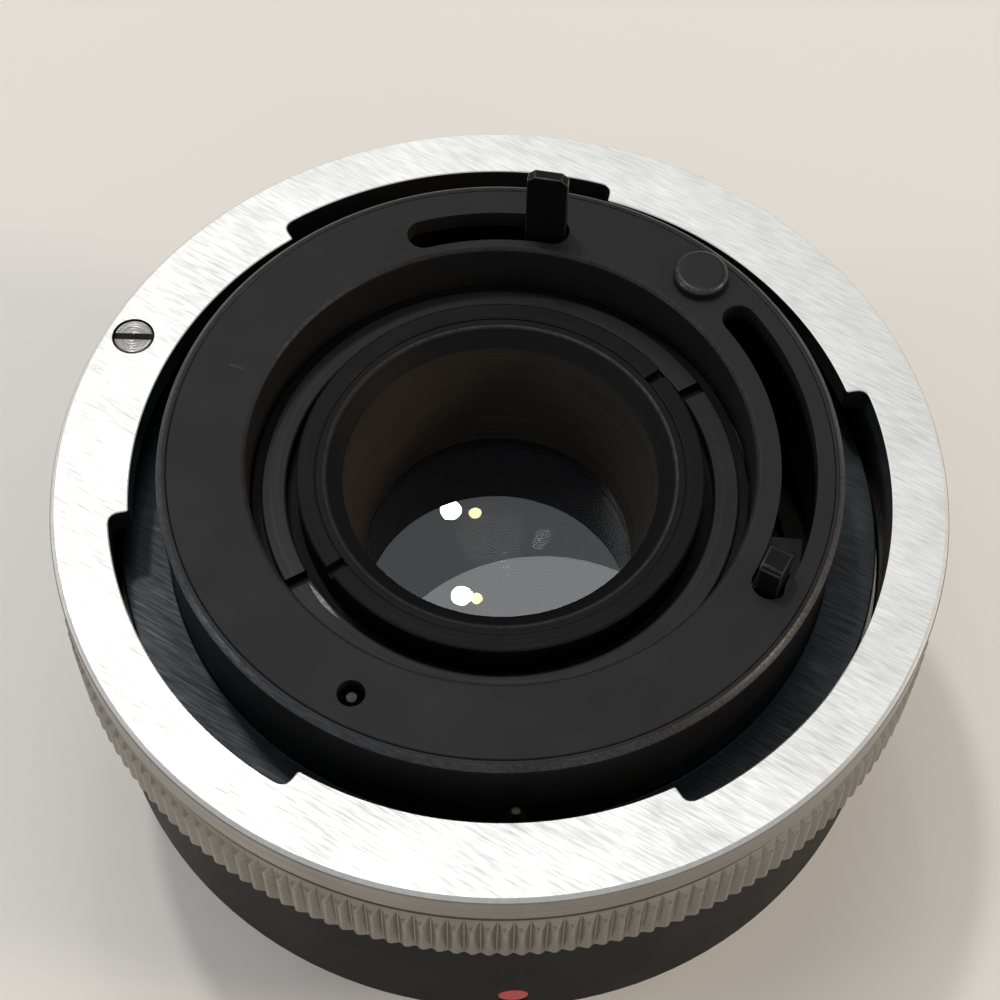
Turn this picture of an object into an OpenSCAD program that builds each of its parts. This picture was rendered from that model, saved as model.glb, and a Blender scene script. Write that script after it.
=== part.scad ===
// Teleconverter with breech-lock mounts. It stands on its lens-side mount, camera side up.
// The origin is the centre of the lens-side mount face, and +Z points to the camera.
// Angles run counter-clockwise as seen from the camera side, and the index is at 273.5 degrees.

/* [Breech ring] */
// Wall of the breech ring outside its gaps
ring_wall = 4.05; // [3.8:0.05:5]
// Height of the breech ring
ring_h = 10; // [9.6:0.1:11]
// Chamfer on the outer edge of the ring's face
ring_edge = 0.35; // [0.2:0.05:0.6]
// Height of the smooth land under the face
land_h = 2.8; // [2.4:0.1:3.2]
// Height of the groove between the land and the knurl
groove_h = 1.2; // [0.8:0.1:1.6]
// Depth of that groove
groove_depth = 0.5; // [0.3:0.05:0.8]
// Number of knurl teeth
knurl_teeth = 180; // [120:4:200]
// How far the tooth tips stand outside the ring's radius
knurl_rise = 0.2; // [0.1:0.05:0.3]
// Height of a knurl tooth from root to tip
knurl_depth = 0.45; // [0.35:0.05:0.6]
// Chamfer across the ends of the teeth
knurl_end = 0.8; // [0.5:0.1:1.2]
// How far the band under the teeth stands inside their roots
knurl_sink = 0.1; // [0.05:0.05:0.2]
// Radial gap between the spigot and the three lugs
lug_gap = 2.2; // [2.15:0.05:2.5]
// Width of the lugs
lug_w = 1.45; // [1.2:0.05:1.7]
// Thickness of the lugs
lug_t = 2; // [1.6:0.1:2.4]
// Angle at which each lug starts
lug_from = [17.5, 128, 241]; // [0:0.5:360]
// Angle at which each lug ends
lug_to = [73, 188, 297]; // [0:0.5:360]
// Corner radius at the foot of the lugs
lug_corner = 0.5; // [0.3:0.1:0.8]
// Turn from open to locked
lock_turn = 60; // [50:1:64]
// Angle of the stop screw
stop_angle = 157.5; // [150:0.5:165]
// Distance of the stop screw from the ring's outside
stop_edge = 2.25; // [2.1:0.05:2.4]
// Head diameter of the stop screw
stop_head_d = 2.9; // [2.4:0.1:3]
// Head height of the stop screw
stop_head_h = 1.2; // [0.8:0.1:1.6]
// Shank diameter of the stop screw
stop_shank_d = 1.8; // [1.4:0.1:2]
// Diameter of the dog point that runs in the barrel's groove
stop_dog_d = 0.9; // [0.7:0.05:1]
// Width of the stop screw's slot
stop_slot = 0.55; // [0.4:0.05:0.7]
// Turn of that slot
stop_slot_turn = 0; // [0:5:90]
// Length of that dog point below the ring
stop_dog_h = 1.2; // [0.8:0.1:1.6]

/* [Camera-side mount] */
// Depth of the flange below the ring's face
flange_drop = 5.5; // [5.2:0.1:5.7]
// Thickness of the flange
flange_t = 1.9; // [1.6:0.1:2.1]
// Outer radius of the spigot that enters the camera
spigot_r = 23.8; // [23.6:0.05:23.9]
// Wall of the spigot
spigot_wall = 1.3; // [1.1:0.05:1.35]
// Width of the rim round the plate
rim_w = 0.7; // [0.5:0.05:0.9]
// Chamfer on that rim
rim_edge = 0.4; // [0.2:0.05:0.45]
// Height of the plate above the ring's face
plate_rise = 3.1; // [2.8:0.1:3.4]
// Thickness of the plate
plate_t = 1.5; // [1.2:0.1:1.8]
// Width of the plate with its rim, from the well to the spigot's outside
plate_w = 6.15; // [6:0.05:6.4]
// Chamfer round the mouth of the well
well_edge = 0.25; // [0.1:0.05:0.4]
// Wall of the collar under the plate
collar_wall = 0.6; // [0.4:0.05:0.65]
// Depth of that collar's end below the lock ring's face
collar_drop = 0.5; // [0.4:0.05:0.6]
// Angle of the locating pin and the index dot
index_angle = 273.5; // [270:0.5:277]
// Distance of the locating pin's middle from the spigot
pin_gap = 1.3; // [1.25:0.05:1.35]
// Diameter of the locating pin
pin_d = 1.4; // [1.2:0.1:1.5]
// Height of the locating pin above the flange
pin_h = 5.2; // [4.6:0.1:5.4]
// Length of the pin's tapered tip
pin_taper = 1.2; // [0.8:0.1:1.6]
// Tip diameter of the locating pin
pin_tip_d = 0.6; // [0.4:0.1:0.8]
// Thickness of the friction washer under the flange
washer_t = 0.3; // [0.2:0.05:0.4]

/* [Barrel] */
// How far the barrel stands inside the breech ring's radius
barrel_step = 1.3; // [0.8:0.05:1.4]
// Visible height of the barrel
barrel_h = 14.8; // [14.4:0.1:16.5]
// Chamfer on the barrel's edges
barrel_edge = 0.4; // [0.2:0.1:0.6]
// How far the hub that the breech ring turns on stands inside the lugs' radius
hub_step = 0.1; // [0.1:0.05:0.3]
// How far the barrel's bore above its web stands inside the spigot's radius
room_step = 0.2; // [0.1:0.05:0.4]
// How far the barrel's bore below its web stands outside the throat
cavity_step = 1; // [0.8:0.05:1.1]
// Thickness of the web
web_t = 1.7; // [1.4:0.1:2]
// Diameter of the index dot
dot_d = 2.2; // [1.6:0.1:2.6]
// Height of the index dot above the barrel's lower edge
dot_rise = 3; // [2:0.1:4]
// Depth of the index dot
dot_depth = 0.5; // [0.3:0.05:0.8]

/* [Lens-side mount] */
// Axial gap between a fitted lens's ring and the barrel
seat_gap = 0.3; // [0.2:0.05:0.5]
// Radial gap between the throat and a lens's spigot
throat_clear = 0.2; // [0.15:0.05:0.3]
// Height of the throat's tube above the base flange
tube_h = 2.3; // [2:0.1:2.3]
// Thickness of the three claws
claw_t = 3; // [2.4:0.1:3.2]
// Radial gap between claws and lugs
claw_clear = 0.25; // [0.15:0.05:0.35]
// Angle left free at each end of a claw
claw_free = 2; // [1:0.5:4]
// Depth of the claws' roots in the neck
claw_root = 0.5; // [0.3:0.1:0.8]
// How far the base flange stands inside the barrel's radius
base_edge = 0.8; // [0.7:0.05:1]
// Thickness of the base flange
base_t = 1.5; // [1.2:0.1:1.8]
// Wall of the tube above the base flange
tube_wall = 1.4; // [1.25:0.05:1.7]

/* [Mount screws] */
// Head diameter of a mount screw
screw_head_d = 1.9; // [1.6:0.1:1.9]
// Shank diameter of a mount screw
screw_d = 1.1; // [0.9:0.1:1.2]
// Depth of a mount screw's countersink
screw_sink = 0.6; // [0.4:0.05:0.7]
// Length of a mount screw
screw_l = 4.6; // [4:0.1:5]
// Width of a screwdriver slot
screw_slot = 0.4; // [0.3:0.05:0.5]
// Depth of a screwdriver slot
screw_slot_h = 0.35; // [0.25:0.05:0.4]

/* [Linkage] */
// Width of the curved slots in the plate
slot_w = 2.5; // [2.4:0.05:2.6]
// Radial gap between the plate's well and the sleeve that the carriers turn on
track_gap = 0.15; // [0.1:0.05:0.2]
// Wall of that sleeve
track_wall = 0.6; // [0.5:0.05:0.65]
// Width of a carrier's hoop outside the sleeve
hoop_w = 1.4; // [1.1:0.05:1.5]
// Thickness of a carrier
carrier_t = 1.2; // [1:0.05:1.3]
// Depth of a carrier's ear in its hoop
ear_lap = 0.4; // [0.3:0.05:0.6]
// Width of the sleeve's shoulder under the carriers
track_shoulder = 0.7; // [0.6:0.05:0.75]
// Width of the sleeve's lip under the web
sleeve_lip = 0.3; // [0.25:0.05:0.4]
// Height of that lip
sleeve_lip_h = 1; // [0.8:0.05:1.1]
// Depth of the sleeve's end below the lock ring's face
sleeve_drop = 0.3; // [0.2:0.05:0.4]
// Height of the sleeve's ledge above the web's underside
ledge_rise = 0.5; // [0.4:0.05:0.6]
// Thickness of the clip that holds the carriers
clip_t = 0.55; // [0.45:0.05:0.6]
// Depth of that clip's groove
clip_groove = 0.3; // [0.2:0.05:0.35]
// Angle of that clip's mouth
clip_mouth = 24; // [16:2:40]
// Height of the carriers' track above the web
track_rise = 1.7; // [1.6:0.05:1.9]
// Length of the spacer between the carriers
spacer_h = 3.3; // [3.1:0.1:3.5]
// Thickness of the lever feet
foot_t = 0.8; // [0.6:0.05:0.85]
// Radial gap between a hoop and a lever's foot
foot_gap = 0.3; // [0.2:0.05:0.4]
// Width of a lever's foot outside its slot's middle
foot_edge = 1.2; // [1.1:0.05:1.25]
// Width of a follower
tab_w = 2; // [1.8:0.1:2.2]
// Gap between a fitted lens's plate and the followers
follower_gap = 1.8; // [1.6:0.1:2]
// Rivet diameter
rivet_d = 0.9; // [0.7:0.05:1]
// Rivet head diameter
rivet_head_d = 1.5; // [1.3:0.05:1.6]
// Rivet head height
rivet_head_h = 0.35; // [0.25:0.05:0.4]
// Room between a lens's longest lever and the web
lever_room = 2; // [1.6:0.1:2.2]
// Wire diameter of the return springs
wire_d = 0.36; // [0.3:0.02:0.4]
// How far a return spring's coil stands inside the hoop's radius
coil_inset = 0.15; // [0.1:0.05:0.2]
// Diameter of the posts that hold the return springs
post_d = 1.2; // [0.9:0.1:1.3]
// Distance of those posts' middles from the sleeve
post_out = 3.1; // [3:0.05:3.2]
// Height of the upper spring's post above the clip's seat
post_rise = 2; // [1.8:0.1:2.1]

/* [Aperture lever] */
// Distance of the aperture slot's middle from the well
aperture_in = 2.1; // [2.05:0.05:2.2]
// Angle at which the aperture slot starts
aperture_from = 76.5; // [75.5:0.5:76.5]
// Angle at which the aperture slot ends
aperture_to = 111.5; // [111:0.5:116]
// Angle of the aperture lever at rest
aperture_angle = 81.7; // [81.5:0.1:82.5]
// Swing of the aperture lever
aperture_turn = 23; // [15:1:23]
// Width of the aperture lever
aperture_w = 3; // [2.6:0.1:3.1]
// Thickness of the aperture lever
aperture_t = 0.8; // [0.7:0.05:1]
// How far the aperture lever's inner face stands inside the slot's middle
aperture_inset = 0.25; // [0.2:0.05:0.4]
// Height of the aperture lever above the plate
aperture_rise = 6; // [5.8:0.1:6.4]
// Bevel on the lever's tip
aperture_bevel = 0.5; // [0.3:0.05:0.6]

/* [Signal lever] */
// Distance of the signal slot's middle from the well
signal_in = 2.95; // [2.85:0.05:3.05]
// Angle at which the signal slot starts
signal_from = 328.3; // [327:0.1:328.3]
// Angle at which the signal slot ends
signal_to = 398.5; // [397.5:0.5:401]
// Angle of the signal lever at rest
signal_angle = 332.8; // [332.6:0.1:333.4]
// Swing of the signal lever
signal_turn = 60; // [40:1:60]
// Width of the signal lever
signal_w = 2.1; // [1.8:0.1:2.2]
// Thickness of the signal lever
signal_t = 1.6; // [1.4:0.1:1.8]
// Height of the signal lever above the plate
signal_rise = 2.6; // [2.4:0.1:3.2]

/* [Signal pins] */
// Angle of the full-aperture post
post_angle = 47.5; // [45:0.5:50]
// Distance of the full-aperture post's middle from the well
post_in = 3.3; // [3.15:0.05:3.35]
// Head diameter of the full-aperture post
post_head_d = 4; // [3.6:0.1:4.1]
// Head height of the full-aperture post
post_head_h = 0.9; // [0.7:0.05:1.2]
// Shank diameter of the full-aperture post
post_shank_d = 1.6; // [1.2:0.1:2]
// Angle of the exposure pin
exposure_angle = 243.5; // [241:0.5:246]
// Distance of the exposure pin's middle from the well
exposure_in = 3.2; // [3.15:0.05:3.25]
// Diameter of the exposure pin
exposure_d = 1.4; // [1.2:0.05:1.5]
// Diameter of its hole in the plate
exposure_hole_d = 1.9; // [1.8:0.05:2.1]
// Depth of its tip below the plate
exposure_recess = 0.6; // [0.4:0.05:1]
// Travel of the exposure pin
exposure_travel = 1.8; // [1.2:0.1:2]
// Wall of the bush that guides the exposure pin
bush_wall = 0.6; // [0.5:0.05:0.65]
// Diameter of the collar on the exposure pin
exposure_collar_d = 2.7; // [2.4:0.05:2.8]
// Height of that collar
exposure_collar_h = 0.6; // [0.5:0.05:0.8]
// Length of the exposure pin's spring
exposure_spring_h = 4.6; // [4.2:0.1:5]
// Wire diameter of the exposure pin's spring
exposure_wire_d = 0.28; // [0.24:0.02:0.3]

/* [Optics] */
// Depth of the lock ring's face below the breech ring's face
lock_drop = 0.9; // [0.8:0.05:1.1]
// Width of the lock ring
lock_w = 1.77; // [1.57:0.05:1.87]
// How far the cell's nose stands inside the cell's radius
nose_step = 1.7; // [1.6:0.05:1.8]
// Length of the nose in front of the front element's edge
nose_h = 1.3; // [1.2:0.05:1.3]
// Thickness of the lock ring
lock_t = 1.3; // [1.1:0.1:1.5]
// Angle of the lock ring's first spanner notch
lock_notch_angle = 31; // [0:1:179]
// Width of the lock ring's spanner notches
lock_notch_w = 0.9; // [0.6:0.1:1.2]
// Height of the rear retainer's face above the breech ring's face
retainer_rise = 1; // [0.8:0.05:1.2]
// Radial gap between the lock ring and the rear retainer
retainer_gap = 0.8; // [0.6:0.05:0.9]
// Width of the rear retainer
retainer_w = 1.35; // [1.3:0.05:1.4]
// Thickness of the rear retainer's rim
retainer_t = 1; // [0.8:0.05:1.1]
// How far the rear retainer's skirt stands inside its rim
skirt_step = 0.65; // [0.6:0.05:0.7]
// Angle of the rear retainer's first spanner notch
retainer_notch_angle = 36.5; // [0:0.5:179]
// Width of the rear retainer's spanner notches
retainer_notch_w = 0.8; // [0.6:0.1:1]
// Depth of all spanner notches
notch_h = 0.7; // [0.4:0.05:0.75]
// Width of the baffle's rim outside its funnel
funnel_rim = 0.65; // [0.45:0.05:0.75]
// How far the funnel narrows to the baffle's widest step
funnel_in = 1.2; // [1.1:0.05:1.3]
// Change of radius from step to step of the baffle
baffle_step = 0.32; // [0.25:0.01:0.33]
// Number of the baffle's steps
baffle_steps = 4; // [3:1:4]
// Share of a step's height that slopes
baffle_slope = 0.35; // [0.2:0.05:0.5]
// Depth of the baffle's rim below the rear retainer's face
baffle_drop = 0.15; // [0.1:0.05:0.3]
// Height of the baffle's flare above the rear glass
flare_rise = 5; // [4.5:0.1:5.5]
// Height of that flare
flare_h = 1.5; // [1.2:0.1:1.8]
// Depth of the funnel
funnel_h = 0.95; // [0.8:0.05:1.1]
// Depth of the rear glass below the breech ring's face
glass_drop = 10.2; // [10:0.1:10.4]
// How far the inner lens elements stand inside the baffle's widest step
glass_step = 0.5; // [0.45:0.01:0.55]
// Width of the seat round the lens elements
glass_seat = 0.7; // [0.5:0.05:0.75]
// Thickness of the rear element
rear_glass_t = 3.4; // [3.2:0.1:3.6]
// Air between rear element and doublet
rear_air = 1; // [0.9:0.05:1.2]
// Thickness of the doublet's rear glass
doublet_rear_t = 1.2; // [1.1:0.05:1.4]
// Thickness of the doublet's front glass
doublet_front_t = 2.4; // [2.3:0.05:2.5]
// Air between doublet and front element
front_air = 1; // [0.95:0.05:1.1]
// Thickness of the front element
front_glass_t = 1.4; // [1.3:0.05:1.5]
// How far the front element stands outside the inner ones
front_step = 1.3; // [1.2:0.05:1.4]
// Curvature radius of the rear element's outer face
rear_curve = 300; // [200:10:500]
// Curvature radius of the rear element's inner face
rear_inner_curve = 50; // [48:1:55]
// Curvature radius of the doublet's faces
doublet_curve = 40; // [39:1:41]
// Curvature radius of the front element's inner face
front_inner_curve = 32; // [32:1:34]
// Curvature radius of the front element's outer face
front_curve = 90; // [80:5:120]

/* [Clearances] */
// Running gap between turning pieces
slip = 0.05; // [0.03:0.01:0.08]
// Gap between seated pieces
fit = 0.03; // [0.02:0.01:0.04]
// Gap between the breech ring and the barrel
ring_gap = 0.2; // [0.15:0.05:0.3]

/* [Hidden] */
$fn = 96;
eps = 0.01;
over = 1;

// Radii from the spigot outwards
throat_r = spigot_r + throat_clear;
spigot_in_r = spigot_r - spigot_wall;
plate_seat_r = spigot_r - rim_w;
pin_ring_r = spigot_r + pin_gap;
lug_r = spigot_r + lug_gap;
gap_r = lug_r + lug_w;
ring_r = gap_r + ring_wall;
ring_bore_r = gap_r + claw_clear;
flange_r = gap_r - claw_clear;
neck_r = lug_r - claw_clear;
claw_r = gap_r - claw_clear;
tip_r = ring_r + knurl_rise;
root_r = tip_r - knurl_depth;
stop_ring_r = ring_r - stop_edge;
barrel_r = ring_r - barrel_step;
base_r = barrel_r - base_edge;
hub_r = lug_r - hub_step;
room_r = spigot_r - room_step;
cavity_r = throat_r + cavity_step;
tube_r = throat_r + tube_wall;

// Radii from the spigot to the sleeve and the linkage
well_r = spigot_r - plate_w;
aperture_r = well_r + aperture_in;
signal_r = well_r + signal_in;
post_ring_r = well_r + post_in;
exposure_ring_r = well_r + exposure_in;
track_r = well_r - track_gap;
hoop_r = track_r + hoop_w;
coil_r = hoop_r - coil_inset;
sleeve_in_r = track_r - track_wall;
base_track_r = track_r + track_shoulder;
sleeve_foot_r = base_track_r + sleeve_lip;

// Radii of the optics, inwards
cell_r = sleeve_in_r - fit;
nose_r = cell_r - nose_step;
lock_in_r = cell_r - lock_w;
retainer_r = lock_in_r - retainer_gap;
retainer_in_r = retainer_r - retainer_w;
skirt_r = retainer_r - skirt_step;
flare_r = skirt_r - fit;
stem_r = retainer_in_r - fit;
funnel_r = retainer_in_r - funnel_rim;
baffle_r = funnel_r - funnel_in;
glass_r = baffle_r - glass_step;
front_glass_r = glass_r + front_step;
seat_r = glass_r - glass_seat;
front_seat_r = front_glass_r - 2 * glass_seat;

// Heights from the lens-side mount face
mount_rise = flange_drop + seat_gap;
shoulder_z = mount_rise + barrel_h;
ring_z = shoulder_z + ring_gap;
face_z = ring_z + ring_h;
flange_z = face_z - flange_drop;
flange_under_z = flange_z - flange_t;
lip_top_z = flange_under_z - washer_t - 2 * slip;
lug_under_z = face_z - lug_t;
knurl_top_z = face_z - land_h - groove_h;
plate_z = face_z + plate_rise;
plate_under_z = plate_z - plate_t;
lens_reach = flange_drop + plate_rise + aperture_rise;
web_z = lens_reach + lever_room;
web_top_z = web_z + web_t;
throat_h = mount_rise + base_t + tube_h;

// Heights of the linkage, stacked on the sleeve
track_z = web_top_z + track_rise;
aperture_z = track_z + slip;
spacer_z = aperture_z + carrier_t + slip;
signal_z = spacer_z + spacer_h + slip;
clip_z = signal_z + carrier_t + slip;
follower_z = flange_drop + plate_rise + follower_gap;

// Heights of the optics, from the rear glass forwards
lock_z = face_z - lock_drop;
lock_under_z = lock_z - lock_t;
retainer_z = face_z + retainer_rise;
tube_top_z = retainer_z - retainer_t;
glass_z = face_z - glass_drop;
rear_front_z = glass_z - rear_glass_t;
doublet_z = rear_front_z - rear_air;
cement_z = doublet_z - doublet_rear_t;
doublet_front_z = cement_z - doublet_front_t;
front_inner_z = doublet_front_z - front_air;
front_outer_z = front_inner_z - front_glass_t;
front_rim_z = front_inner_z + sag(front_seat_r, front_inner_curve);
front_edge_z = front_outer_z + sag(front_glass_r, front_curve);
doublet_seat_z = doublet_front_z + sag(seat_r, doublet_curve) - fit;
doublet_rim_z = doublet_z + sag(seat_r, doublet_curve);
rear_seat_z = rear_front_z + sag(seat_r, rear_inner_curve) - fit;
baffle_z = glass_z - sag(seat_r, rear_curve) + fit;
flare_z = baffle_z + flare_rise;
skirt_z = flare_z + flare_h + fit;
nose_z = front_edge_z - nose_h;
ledge_z = web_z + ledge_rise;

// Places of the mount screws, shifted clear of the index and the slots
front_screw_r = (neck_r + base_r) / 2;
rear_screw_r = (room_r + hub_r) / 2;
front_screw_shift = [0, 0, -12];
rear_screw_shift = [0, 8, -12];
lug_middle = (lug_from + lug_to) / 2;
front_screw_angles = lug_middle + front_screw_shift;
rear_screw_angles = lug_middle + rear_screw_shift;

// Angles of the linkage's feet, rivets, followers and springs
aperture_half = asin(aperture_w / 2 / aperture_r);
signal_half = asin(signal_w / 2 / signal_r);
aperture_tab_gap = 4.4;
signal_tab_gap = 5.2;
tab_margin = 3;
rivet_first = 7;
aperture_rivet_first = 7.6;
rivet_pitch = 4.6;
aperture_tab_angle = aperture_angle - aperture_half - aperture_tab_gap;
signal_tab_angle = signal_angle + signal_half + signal_tab_gap;
foot_in_r = hoop_r + foot_gap;
aperture_foot_r = aperture_r + foot_edge;
signal_foot_r = signal_r + foot_edge;
aperture_blade_r = aperture_r - aperture_inset + aperture_t / 2;
aperture_rivets_up = rivet_pair(aperture_angle + aperture_rivet_first, rivet_pitch);
aperture_rivets_down = rivet_pair(aperture_tab_angle - rivet_first, -rivet_pitch);
signal_rivets_up = rivet_pair(signal_angle - rivet_first, -rivet_pitch);
signal_rivets_down = rivet_pair(signal_tab_angle + rivet_first, rivet_pitch);
ear_margin = 3.2;
rivet_ring_r = (foot_in_r + aperture_foot_r) / 2;
signal_rivet_ring_r = (foot_in_r + signal_foot_r) / 2;
post_ring = track_r + post_out;
aperture_post_angle = 150;
signal_post_angle = 290;
leg_gap = 0.3;
lever_gap = 0.4;
aperture_coils = 3;
signal_coils = 2;
exposure_coils = 5;
leg_side = asin((post_d + wire_d) / 2 / post_ring) + leg_gap;
leg_r = post_ring + post_d / 2;

// Steps of a lens face
face_steps = 12;

// Rings per turn and sides of a spring's wire
coil_rings = 24;
wire_sides = 6;

// Depth of a sphere's cap of the given rim radius
function sag(rim, curve) = curve - sqrt(curve * curve - rim * rim);

// Angles of two rivets from the first one on
function rivet_pair(first, pitch) = [first, first + pitch];

// A point at a radius, an angle and a height
function polar(r, a, z) = [r * cos(a), r * sin(a), z];

// Solid of revolution from an outline of [radius, height] points
module turned(outline) {
    rotate_extrude() polygon(outline);
}

// Plain ring between two radii and two heights
module ring(r_in, r_out, z0, z1) {
    difference() {
        translate([0, 0, z0]) cylinder(r = r_out, h = z1 - z0);
        translate([0, 0, z0 - over]) cylinder(r = r_in, h = z1 - z0 + 2 * over);
    }
}

// Part of a ring between two angles
module sector(r_in, r_out, z0, z1, a0, a1) {
    rotate([0, 0, a0])
        rotate_extrude(angle = a1 - a0)
            translate([r_in, z0]) square([r_out - r_in, z1 - z0]);
}

// Curved slot with round ends, measured over its ends. The ends are a hair narrower than the slot.
module curved_slot(r, w, z0, z1, a0, a1) {
    end = asin(w / 2 / r);
    sector(r - w / 2, r + w / 2, z0, z1, a0 + end, a1 - end);
    for (a = [a0 + end, a1 - end])
        translate(polar(r, a, z0)) cylinder(d = w - 2 * eps, h = z1 - z0);
}

// Upright round bar at a radius and an angle
module bar(r, a, d, z0, z1) {
    translate(polar(r, a, z0)) cylinder(d = d, h = z1 - z0);
}

// Two opposite spanner notches
module notches(w, r_in, r_out, z, a) {
    for (turn = [0, 180])
        rotate([0, 0, a + turn])
            translate([r_in - over, -w / 2, z - notch_h])
                cube([r_out - r_in + 2 * over, w, notch_h + over]);
}

// Countersunk slotted screw with its head's face at the origin and its shank along +Z
module sunk_screw(extra = 0, slotted = true) {
    difference() {
        rotate_extrude()
            polygon([
                [0, -extra], [screw_head_d / 2 + extra, -extra],
                [screw_head_d / 2 + extra, 0], [screw_d / 2 + extra, screw_sink],
                [screw_d / 2 + extra, screw_l], [0, screw_l]
            ]);
        if (slotted)
            translate([-screw_head_d, -screw_slot / 2, -over])
                cube([2 * screw_head_d, screw_slot, screw_slot_h + over]);
    }
}

// Places the mount screws of one side
module at_front_screws() {
    for (a = front_screw_angles)
        translate(polar(front_screw_r, a, mount_rise)) rotate([0, 0, a]) children();
}

module at_rear_screws() {
    for (a = rear_screw_angles)
        translate(polar(rear_screw_r, a, flange_z)) rotate([180, 0, a]) children();
}

// Outline points of a lens face from radius r0 to r1. The curve is positive if its centre is above.
function lens_face(z, curve, r0, r1) = [
    for (i = [0:face_steps])
        let (r = r0 + (r1 - r0) * i / face_steps)
        [r, curve == 0 ? z : z + sign(curve) * sag(r, abs(curve))]
];

// Hoop with one ear that carries a lever and its follower
module carrier(z, ear_r, a0, a1, holes, hole_r) {
    difference() {
        union() {
            ring(track_r + slip, hoop_r, z, z + carrier_t);
            sector(hoop_r - ear_lap, ear_r, z, z + carrier_t, a0, a1);
        }
        for (a = holes)
            bar(hole_r, a, rivet_d + 2 * fit, z - over, z + carrier_t + over);
    }
}

// Flat blade with its middle at a radius and an angle
module blade(r, t, w, z0, z1, a) {
    rotate([0, 0, a])
        translate([r - t / 2, -w / 2, z0]) cube([t, w, z1 - z0]);
}

// Riveted foot of a lever or follower
module foot(r_out, z, a0, a1, holes, hole_r) {
    difference() {
        sector(foot_in_r, r_out, z, z + foot_t, a0, a1);
        for (a = holes)
            bar(hole_r, a, rivet_d + 2 * fit, z - over, z + foot_t + over);
    }
}

// Rivets through a carrier and a foot
module rivets(angles, r, z0, z1) {
    for (a = angles) {
        bar(r, a, rivet_d, z0 - eps, z1 + eps);
        bar(r, a, rivet_head_d, z0 - rivet_head_h, z0);
        bar(r, a, rivet_head_d, z1, z1 + rivet_head_h);
    }
}

// Round wire along a path, as one closed skin of triangles
module wire(path, d) {
    n = len(path);
    up = [0, 0, 1];
    unit = function (v) v / norm(v);
    along = function (i) unit(path[min(i + 1, n - 1)] - path[max(i - 1, 0)]);
    side = function (i) unit(cross(up, along(i)));
    skin = [
        for (i = [0:n - 1], k = [0:wire_sides - 1])
            let (a = 360 * k / wire_sides, s = side(i))
            path[i] + d / 2 * (cos(a) * s + sin(a) * cross(along(i), s))
    ];
    at = function (i, k) i * wire_sides + k % wire_sides;
    walls = [
        for (i = [0:n - 2], k = [0:wire_sides - 1], half = [0, 1])
            half == 0
                ? [at(i, k), at(i + 1, k), at(i, k + 1)]
                : [at(i, k + 1), at(i + 1, k), at(i + 1, k + 1)]
    ];
    caps = [
        for (k = [1:wire_sides - 2], last = [false, true])
            last ? [at(n - 1, 0), at(n - 1, k + 1), at(n - 1, k)] : [at(0, 0), at(0, k), at(0, k + 1)]
    ];
    polyhedron(points = skin, faces = concat(walls, caps));
}

// Path of a torsion spring round the sleeve, with a straight leg at each end
function torsion_path(a0, a1, z0, z1) =
    let (steps = ceil((a1 - a0) / 360 * coil_rings))
    concat(
        [polar(leg_r, a0, z0)],
        [for (i = [0:steps]) polar(coil_r, a0 + (a1 - a0) * i / steps, z0 + (z1 - z0) * i / steps)],
        [polar(leg_r, a1, z1)]
    );

// Path of a compression spring about its own upright axis
function coil_path(r, turns, z0, z1) =
    let (steps = turns * coil_rings / 2)
    [for (i = [0:steps]) polar(r, 360 * turns * i / steps, z0 + (z1 - z0) * i / steps)];

module main_barrel() {
    tube_bore_r = tube_r + fit;
    base_bore_r = base_r + fit;
    groove_w = stop_dog_d + 4 * slip;
    groove_free = asin(groove_w / 2 / stop_ring_r);
    tab_free = 4;
    color("#26241f")
        difference() {
            turned([
                [base_track_r + fit, web_z], [cavity_r, web_z], [cavity_r, throat_h + fit],
                [tube_bore_r, throat_h + fit], [tube_bore_r, mount_rise + base_t],
                [base_bore_r, mount_rise + base_t], [base_bore_r, mount_rise],
                [barrel_r - barrel_edge, mount_rise], [barrel_r, mount_rise + barrel_edge],
                [barrel_r, shoulder_z - barrel_edge / 2], [barrel_r - barrel_edge / 2, shoulder_z],
                [hub_r, shoulder_z], [hub_r, flange_under_z], [room_r, flange_under_z],
                [room_r, web_top_z], [base_track_r + fit, web_top_z]
            ]);
            curved_slot(stop_ring_r, groove_w, shoulder_z - stop_dog_h - ring_gap, shoulder_z + over,
                stop_angle - groove_free, stop_angle + lock_turn + groove_free);
            sector(aperture_r - slot_w / 2, aperture_r + slot_w / 2, web_z - over, web_top_z + over,
                aperture_tab_angle - tab_free, aperture_tab_angle + aperture_turn + tab_free);
            sector(signal_r - slot_w / 2, signal_r + slot_w / 2, web_z - over, web_top_z + over,
                signal_tab_angle - tab_free, signal_tab_angle + signal_turn + tab_free);
            bar(exposure_ring_r, exposure_angle, exposure_d + 2 * (bush_wall + fit),
                web_z - over, web_top_z + over);
            for (a = [aperture_post_angle, signal_post_angle])
                bar(post_ring, a, post_d + 2 * fit, web_top_z - web_t / 2, web_top_z + over);
            at_front_screws() sunk_screw(fit, false);
            at_rear_screws() sunk_screw(fit, false);
            index_place() cylinder(d = dot_d + 2 * fit, h = dot_depth + over);
        }
}

// Frame of the index dot: origin on the dot's floor, +Z outwards
module index_place() {
    rotate([0, 0, index_angle])
        translate([barrel_r - dot_depth, 0, mount_rise + dot_rise])
            rotate([0, 90, 0]) children();
}

module index_dot() {
    color("#b3161b") index_place() cylinder(d = dot_d, h = dot_depth);
}

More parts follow.
